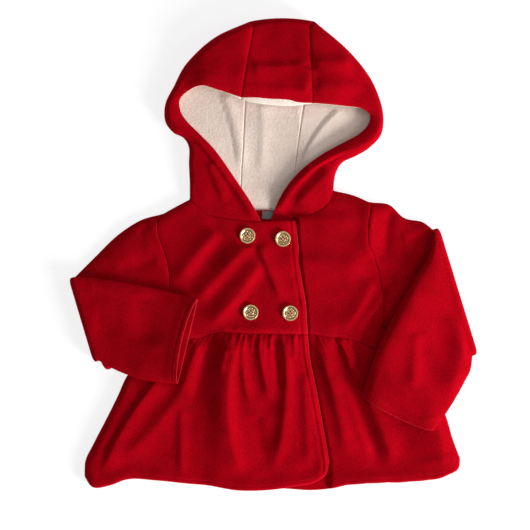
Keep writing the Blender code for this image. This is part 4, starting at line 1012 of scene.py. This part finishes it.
def elbow_frame(upper):
    """Start of an elbow's fold line and the level direction out past it."""
    first, last = (dict(zip(ARM_COLUMNS, upper[k])) for k in (0, -1))
    start = np.array((last["up_x"], last["up_y"]), float)
    line = np.array((last["low_x"], last["low_y"]), float) - start
    line /= np.linalg.norm(line)
    out = np.array((-line[1], line[0]))
    if out @ (start - np.array((first["up_x"], first["up_y"]))) < 0:
        out = -out
    return start, out


def arm_section(up, low, height, bend, floor_roll):
    """One ring round a flattened sleeve between two edges: the floor side, then the upper side."""
    share = arm_shares()
    width = np.linalg.norm(low - up)
    plan = up + share[:, None] * (low - up) + bend
    near = np.minimum(share, 1 - share) * width
    middle = ARM_FLOOR_ROLL / 2
    top = middle + (height - middle) * roll(near, ARM_TOP_ROLL)
    bottom = middle * (1 - roll(near, floor_roll))
    return np.concatenate((np.column_stack((plan, bottom)), np.column_stack((plan, top))[-2:0:-1]))


def ring_normals(rings):
    """Normals that stay in the upright plane of each ring."""
    level = np.gradient(rings[:, :ARM_ACROSS + 1, :2], axis=1)
    level = np.concatenate((level, level[:, -2:0:-1]), axis=1)
    level /= np.linalg.norm(level, axis=2)[..., None]
    round_it = np.roll(rings, -1, axis=1) - np.roll(rings, 1, axis=1)
    sideways = (round_it[..., :2] * level).sum(axis=2)
    rise = round_it[..., 2]
    size = np.hypot(sideways, rise)
    return np.concatenate(((rise / size)[..., None] * level, (-sideways / size)[..., None]), axis=2)


def fold_over(points, start, out, centre, length):
    """Bend what lies past the elbow's line up and back over the arm, round the given height."""
    past = (points[..., :2] - start) @ out
    angle = np.clip(past / length, 0, 1) * math.pi
    reach = centre - points[..., 2]
    level = np.where(past > 0, reach * np.sin(angle) - np.maximum(past - length, 0), past)
    folded = points.copy()
    folded[..., :2] += (level - past)[..., None] * out
    folded[..., 2] = np.where(past > 0, centre - reach * np.cos(angle), points[..., 2])
    return folded


def edges_at(rows, k):
    """The two edges of a flattened sleeve in row k."""
    return [np.array((rows[edge + "_x"][k], rows[edge + "_y"][k])) for edge in ("up", "low")]


def sleeve(name, upper, fore, armhole, recess, arm_folds, fore_folds, seed):
    """A sleeve as one tube from armhole to cuff, folded over at the elbow onto what is under it."""
    start, out = elbow_frame(upper)
    centre = upper[-1][-1] + ELBOW_ROOM
    length = math.pi * (centre + ELBOW_ROOM) / 2
    hole = along(armhole, arm_shares())
    away = np.array((math.copysign(SEAM_STEP, hole[0, 0]), 0.0))
    chord = hole[0] + arm_shares()[:, None] * (hole[-1] - hole[0])
    rings = []
    places = np.linspace(0, 1, UPPER_ROWS + 1)
    rows = read(ARM_COLUMNS, upper, places)
    for k, place in enumerate(places):
        up, low = edges_at(rows, k)
        bend = (hole - chord + away) * ease(1 - place / ARMHOLE_REACH)
        rings.append(arm_section(up, low, rows["height"][k], bend, ARM_FLOOR_ROLL))
    for step in np.linspace(0, 1, ELBOW_ROWS + 1)[1:]:
        shift = out * length * step
        rings.append(arm_section(up + shift, low + shift, upper[-1][-1], 0.0,
                                 ARM_FLOOR_ROLL + (FOREARM_ROLL - ARM_FLOOR_ROLL) * step))
    rows = read(ARM_COLUMNS, fore, np.linspace(0, 1, FOREARM_ROWS + 1))
    for k in range(1, FOREARM_ROWS + 1):
        ends = [seen + (length - 2 * ((seen - start) @ out)) * out for seen in edges_at(rows, k)]
        rings.append(arm_section(*ends, rows["height"][k], 0.0, FOREARM_ROLL))
    outer = np.array(rings)
    inner = outer - ring_normals(outer) * FLEECE

    bow = np.sin(math.pi * np.linspace(0, 1, ARM_ACROSS + 1))[:, None]**CUFF_BOW
    cuff_way = outer[-1, :, :2].mean(axis=0) - outer[-2, :, :2].mean(axis=0)
    cuff_way /= np.linalg.norm(cuff_way)
    for back in range(CUFF_ROWS):
        for grid in (outer, inner):
            grid[-1 - back, :ARM_ACROSS + 1, :2] -= cuff_way * recess * ease(1 - back / CUFF_ROWS) * bow
    outer, inner = (fold_over(grid, start, out, centre, length) for grid in (outer, inner))

    size = outer.shape[1]
    fold_row = UPPER_ROWS + ELBOW_ROWS
    column = np.arange(size)
    across = np.where(column <= ARM_ACROSS, column, size - column) / ARM_ACROSS
    soft_edge = np.sin(math.pi * across)**0.5
    x, y = outer[..., 0], outer[..., 1]
    on_arm = fold_rise(arm_folds, x, y) + ARM_RUMPLE * rumple(x, y, UPPER_RUMPLE_SIZE, seed)
    on_arm += sewn_seam(gap_to(joined(armhole), x, y)) / np.maximum(soft_edge, SLEEVE_SEAM_EASE)[None]
    on_fore = fold_rise(fore_folds, x, y) + ARM_RUMPLE * rumple(x, y, FORE_RUMPLE_SIZE, seed + 1)
    on_fore += turned_edge(np.linalg.norm(outer - outer[-1:], axis=2))
    row_number = np.arange(len(outer))[:, None]
    arm_side, fore_side = (column > ARM_ACROSS)[None], (column <= ARM_ACROSS)[None]
    past_elbow = ease((row_number - UPPER_ROWS - ELBOW_ROWS * ELBOW_PAST) / (ELBOW_ROWS * ELBOW_FADE))
    before_elbow = ease((UPPER_ROWS - row_number) / ELBOW_BEFORE)
    lift = on_arm * arm_side * before_elbow * soft_edge + on_fore * fore_side * past_elbow * soft_edge
    for grid in (outer, inner):
        grid[..., 2] += lift

    guide = bpy.data.meshes.new("arm_guide")
    rows_kept = UPPER_ROWS + 2
    index = np.arange(rows_kept * size).reshape(rows_kept, size)
    beside = np.roll(index, -1, axis=1)
    quads = np.stack((index[:-1], beside[:-1], beside[1:], index[1:]), axis=-1).reshape(-1, 4)
    guide.from_pydata((outer[:rows_kept].reshape(-1, 3) * MM).tolist(), [], quads.tolist())
    arm = bpy.data.objects.new("arm_guide", guide)
    below = surface_below(fronts + [arm])
    bpy.data.objects.remove(arm, do_unlink=True)

    need = np.zeros((len(outer), ARM_ACROSS + 1))
    steps = (-DRAPE_SPREAD, 0, DRAPE_SPREAD)
    for row in range(fold_row, len(outer)):
        for k in range(ARM_ACROSS + 1):
            pair = {k, (size - k) % size}
            lowest = min(outer[row, p, 2] for p in pair)
            top = max(below(outer[row, k, 0] + dx, outer[row, k, 1] + dy) for dx in steps for dy in steps)
            need[row, k] = max(0.0, top + DRAPE - lowest)
    drape = need.copy()
    for _ in range(DRAPE_PASSES):
        around = np.pad(drape, ((1, 1), (1, 1)), mode="edge")
        mean = (around[:-2, 1:-1] + around[2:, 1:-1] + around[1:-1, :-2] + around[1:-1, 2:]) / 4
        drape = np.maximum(need, mean)
        drape[:UPPER_ROWS + 1] = 0
    for grid in (outer, inner):
        grid[..., 2] += drape[:, np.minimum(column, size - column)]
    topstitch(name + "_cuff_stitches", outer[CUFF_STITCH_ROW, 2:ARM_ACROSS - 1])
    return cloth(name, outer, inner, red_fleece, ("bottom",), ring=True)


sleeve_left = sleeve("sleeve_left", UPPER_ARM_LEFT, FOREARM_LEFT, ARMHOLE_LEFT, CUFF_RECESS_LEFT,
                     UPPER_ARM_FOLDS_LEFT, FOREARM_FOLDS_LEFT, LEFT_SEED)
sleeve_right = sleeve("sleeve_right", UPPER_ARM_RIGHT, FOREARM_RIGHT, ARMHOLE_RIGHT, CUFF_RECESS_RIGHT,
                      UPPER_ARM_FOLDS_RIGHT, FOREARM_FOLDS_RIGHT, RIGHT_SEED)

# Neck label
# A bare woven tape that lies flat at the back of the neck, where the hood's lining ends.
LABEL_LEFT, LABEL_RIGHT, LABEL_BOTTOM, LABEL_TOP = -14.0, 8.0, 45.0, 55.0
LABEL_THICK, LABEL_LEVEL, LABEL_COLUMNS, LABEL_ROWS = 1.0, 2.5, 24, 12
LABEL_GREY, LABEL_RAISED = (0.17, 0.155, 0.15), 1.25
LABEL_ROUGH, RIB_SCALE, RIB_WANDER = 0.75, 420.0, 0.6
RIB_BUMP = {"Strength": 0.4, "Distance": 0.0002}

label_paint, node, shade = new_paint("grey_tape")
ribs = node("TexWave", "Fac", {"Vector": node("TexCoord", "Object", {}), "Scale": RIB_SCALE,
                               "Distortion": RIB_WANDER})
raised_grey = (*[c * LABEL_RAISED for c in LABEL_GREY], 1)
shade({"Base Color": node("Mix", MIXED, {"Factor": ribs, MIX_UNDER: (*LABEL_GREY, 1), MIX_OVER: raised_grey}),
       "Normal": node("Bump", "Normal", {"Height": ribs, **RIB_BUMP}), "Roughness": LABEL_ROUGH})

plan = np.stack(np.meshgrid(np.linspace(LABEL_LEFT, LABEL_RIGHT, LABEL_COLUMNS),
                            np.linspace(LABEL_TOP, LABEL_BOTTOM, LABEL_ROWS)), axis=-1)
label = flat_cloth("neck_label", plan, LABEL_LEVEL, LABEL_LEVEL + LABEL_THICK, label_paint,
                   ending="_tape")

# Buttons
# Four cast coat buttons with a gold finish: a raised rim, a ring of beads in the dished face and
# a boss with four holes. Red thread sews each of them flat on the over front.
BUTTON_RADIUS, BUTTON_THICK, BUTTON_SIDES = 9.5, 3.0, 64
BUTTON_RIM, BUTTON_DISH, DISH_SLOPE, DISH_FLOOR, DISH_SINK = 1.5, 1.1, 1.4, 2.6, 0.25
BOSS_EDGE, BOSS_RISE, DISH_INNER, DISH_OUTER = 0.3, 0.55, 3.9, 8.0
HOLE_RADIUS, HOLE_SPREAD, HOLE_SIDES = 1.05, 2.1, 20
BEADS, BEAD_RADIUS, BEAD_RING, BEAD_LEVEL = 16, 0.9, 5.4, 1.75
WORN_EDGE, WORN_ANGLE, SMOOTH_ANGLE = 0.32, 28, 40
THREAD_RADIUS, BAR_RISE, BAR_SIDES = 0.42, 0.4, 10
GOLD_DULL, GOLD_BRIGHT = (0.52, 0.34, 0.15), (0.95, 0.72, 0.42)
# Darker gold for the dished face: painted shade in the recess.
RECESS_SHADE_DULL, RECESS_SHADE_BRIGHT = (0.22, 0.14, 0.055), (0.44, 0.30, 0.14)
WEAR_GRAIN, WEAR_DETAIL, WEAR_ROUGH = 380.0, 4.0, (0.24, 0.42)
WEAR_BUMP = {"Strength": 0.15, "Distance": 0.0002}
THREAD_DARK, THREAD_LIGHT, THREAD_ROUGH = (0.30, 0.004, 0.015), (0.62, 0.05, 0.08), 0.7


def gold_metal(name, dull, bright):
    """Cast metal, worn brighter in places."""
    made, node, shade = new_paint(name)
    wear = node("TexNoise", "Fac", {"Vector": node("TexCoord", "Object", {}), "Scale": WEAR_GRAIN,
                                    "Detail": WEAR_DETAIL})
    shade({"Metallic": 1.0,
           "Base Color": node("Mix", MIXED, {"Factor": wear, MIX_UNDER: (*dull, 1), MIX_OVER: (*bright, 1)}),
           "Roughness": node("MapRange", "Result", {"Value": wear, "To Min": WEAR_ROUGH[0],
                                                    "To Max": WEAR_ROUGH[1]}),
           "Normal": node("Bump", "Normal", {"Height": wear, **WEAR_BUMP})})
    return made


gold = gold_metal("gold_finish", GOLD_DULL, GOLD_BRIGHT)
# A darker copy of the gold: painted shade in the button's dish.
gold_recess_shade = gold_metal("gold_recess_shade", RECESS_SHADE_DULL, RECESS_SHADE_BRIGHT)
thread_red, node, shade = new_paint("red_thread")
twist = node("TexNoise", "Fac", {"Vector": node("TexCoord", "Object", {}), "Scale": SEWING_GRAIN})
shade({"Base Color": node("Mix", MIXED, {"Factor": twist, MIX_UNDER: (*THREAD_DARK, 1),
                                         MIX_OVER: (*THREAD_LIGHT, 1)}), "Roughness": THREAD_ROUGH})

bpy.ops.object.select_all(action="DESELECT")
bpy.ops.mesh.primitive_cylinder_add(vertices=BUTTON_SIDES, radius=BUTTON_RADIUS * MM,
                                    depth=BUTTON_THICK * MM, location=(0, 0, BUTTON_THICK * MM / 2))
first_button = bpy.context.object
bpy.ops.object.transform_apply(location=True, rotation=False, scale=False)
bpy.ops.object.mode_set(mode="EDIT")
bpy.ops.mesh.select_mode(type="FACE")
bpy.ops.mesh.select_all(action="DESELECT")
bpy.ops.object.mode_set(mode="OBJECT")
for face in first_button.data.polygons:
    face.select = face.normal.z > 0.9
bpy.ops.object.mode_set(mode="EDIT")
for inwards, upwards in ((BUTTON_RIM, 0), (DISH_SLOPE, -BUTTON_DISH), (DISH_FLOOR, -DISH_SINK),
                         (BOSS_EDGE, BOSS_RISE)):
    bpy.ops.mesh.inset(thickness=inwards * MM, depth=upwards * MM)
bpy.ops.object.mode_set(mode="OBJECT")
first_button.data.materials.append(gold)
first_button.data.materials.append(gold_recess_shade)
# Faces in the dish take the darker gold copy: painted shade.
for face in first_button.data.polygons:
    reach, level = face.center.xy.length / MM, face.center.z / MM
    shaded_dish = DISH_INNER < reach < DISH_OUTER and 0 < level < BUTTON_THICK - BUTTON_DISH / 2
    face.material_index = int(shaded_dish)
for along_x, along_y in ((1, 0), (0, 1), (-1, 0), (0, -1)):
    bpy.ops.object.select_all(action="DESELECT")
    bpy.ops.mesh.primitive_cylinder_add(
        vertices=HOLE_SIDES, radius=HOLE_RADIUS * MM, depth=3 * BUTTON_THICK * MM,
        location=(along_x * HOLE_SPREAD * MM, along_y * HOLE_SPREAD * MM, 0))
    drill = bpy.context.object
    bpy.context.view_layer.objects.active = first_button
    hole = first_button.modifiers.new("hole", "BOOLEAN")
    hole.operation, hole.object, hole.solver = "DIFFERENCE", drill, "EXACT"
    bpy.ops.object.modifier_apply(modifier="hole")
    bpy.data.objects.remove(drill, do_unlink=True)
bevel = first_button.modifiers.new("worn_edges", "BEVEL")
bevel.width, bevel.segments = WORN_EDGE * MM, 3
bevel.limit_method, bevel.angle_limit = "ANGLE", math.radians(WORN_ANGLE)
bpy.ops.object.modifier_apply(modifier="worn_edges")
first_button.active_material_index = 0
bpy.ops.object.select_all(action="DESELECT")
first_button.select_set(True)
bpy.context.view_layer.objects.active = first_button
bpy.ops.object.mode_set(mode="EDIT")
bpy.ops.mesh.select_all(action="DESELECT")
for turn in np.linspace(0, math.tau, BEADS, endpoint=False):
    bpy.ops.mesh.primitive_uv_sphere_add(
        segments=12, ring_count=8, radius=BEAD_RADIUS * MM,
        location=(BEAD_RING * math.cos(turn) * MM, BEAD_RING * math.sin(turn) * MM, BEAD_LEVEL * MM))
bpy.ops.object.mode_set(mode="OBJECT")
bpy.ops.object.shade_smooth_by_angle(angle=math.radians(SMOOTH_ANGLE))

for name in BUTTON_NAMES:
    low, high = (Vector(corner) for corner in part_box(name))
    made = bpy.data.objects.new(name + "_gold", first_button.data.copy())
    bpy.context.scene.collection.objects.link(made)
    centre = Vector((*((low + high) / 2).xy, low.z))
    for vertex in made.data.vertices:
        vertex.co += centre
    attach(made, "root")
    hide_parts(name)
    for side, ending in ((-0.5, "_thread_a"), (0.5, "_thread_b")):
        bpy.ops.object.select_all(action="DESELECT")
        bpy.ops.mesh.primitive_cylinder_add(
            vertices=BAR_SIDES, radius=THREAD_RADIUS * MM, depth=2 * HOLE_SPREAD * MM,
            rotation=(math.pi / 2, 0, math.pi / 4),
            location=centre + Vector((side * HOLE_SPREAD, side * HOLE_SPREAD,
                                      BUTTON_THICK - BUTTON_DISH + BAR_RISE)) * MM)
        bar = bpy.context.object
        bar.name = name + ending
        bpy.ops.object.transform_apply(location=True, rotation=True, scale=True)
        bar.data.materials.append(thread_red)
        bar.data.shade_smooth()
        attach(bar, "root")
bpy.data.objects.remove(first_button, do_unlink=True)
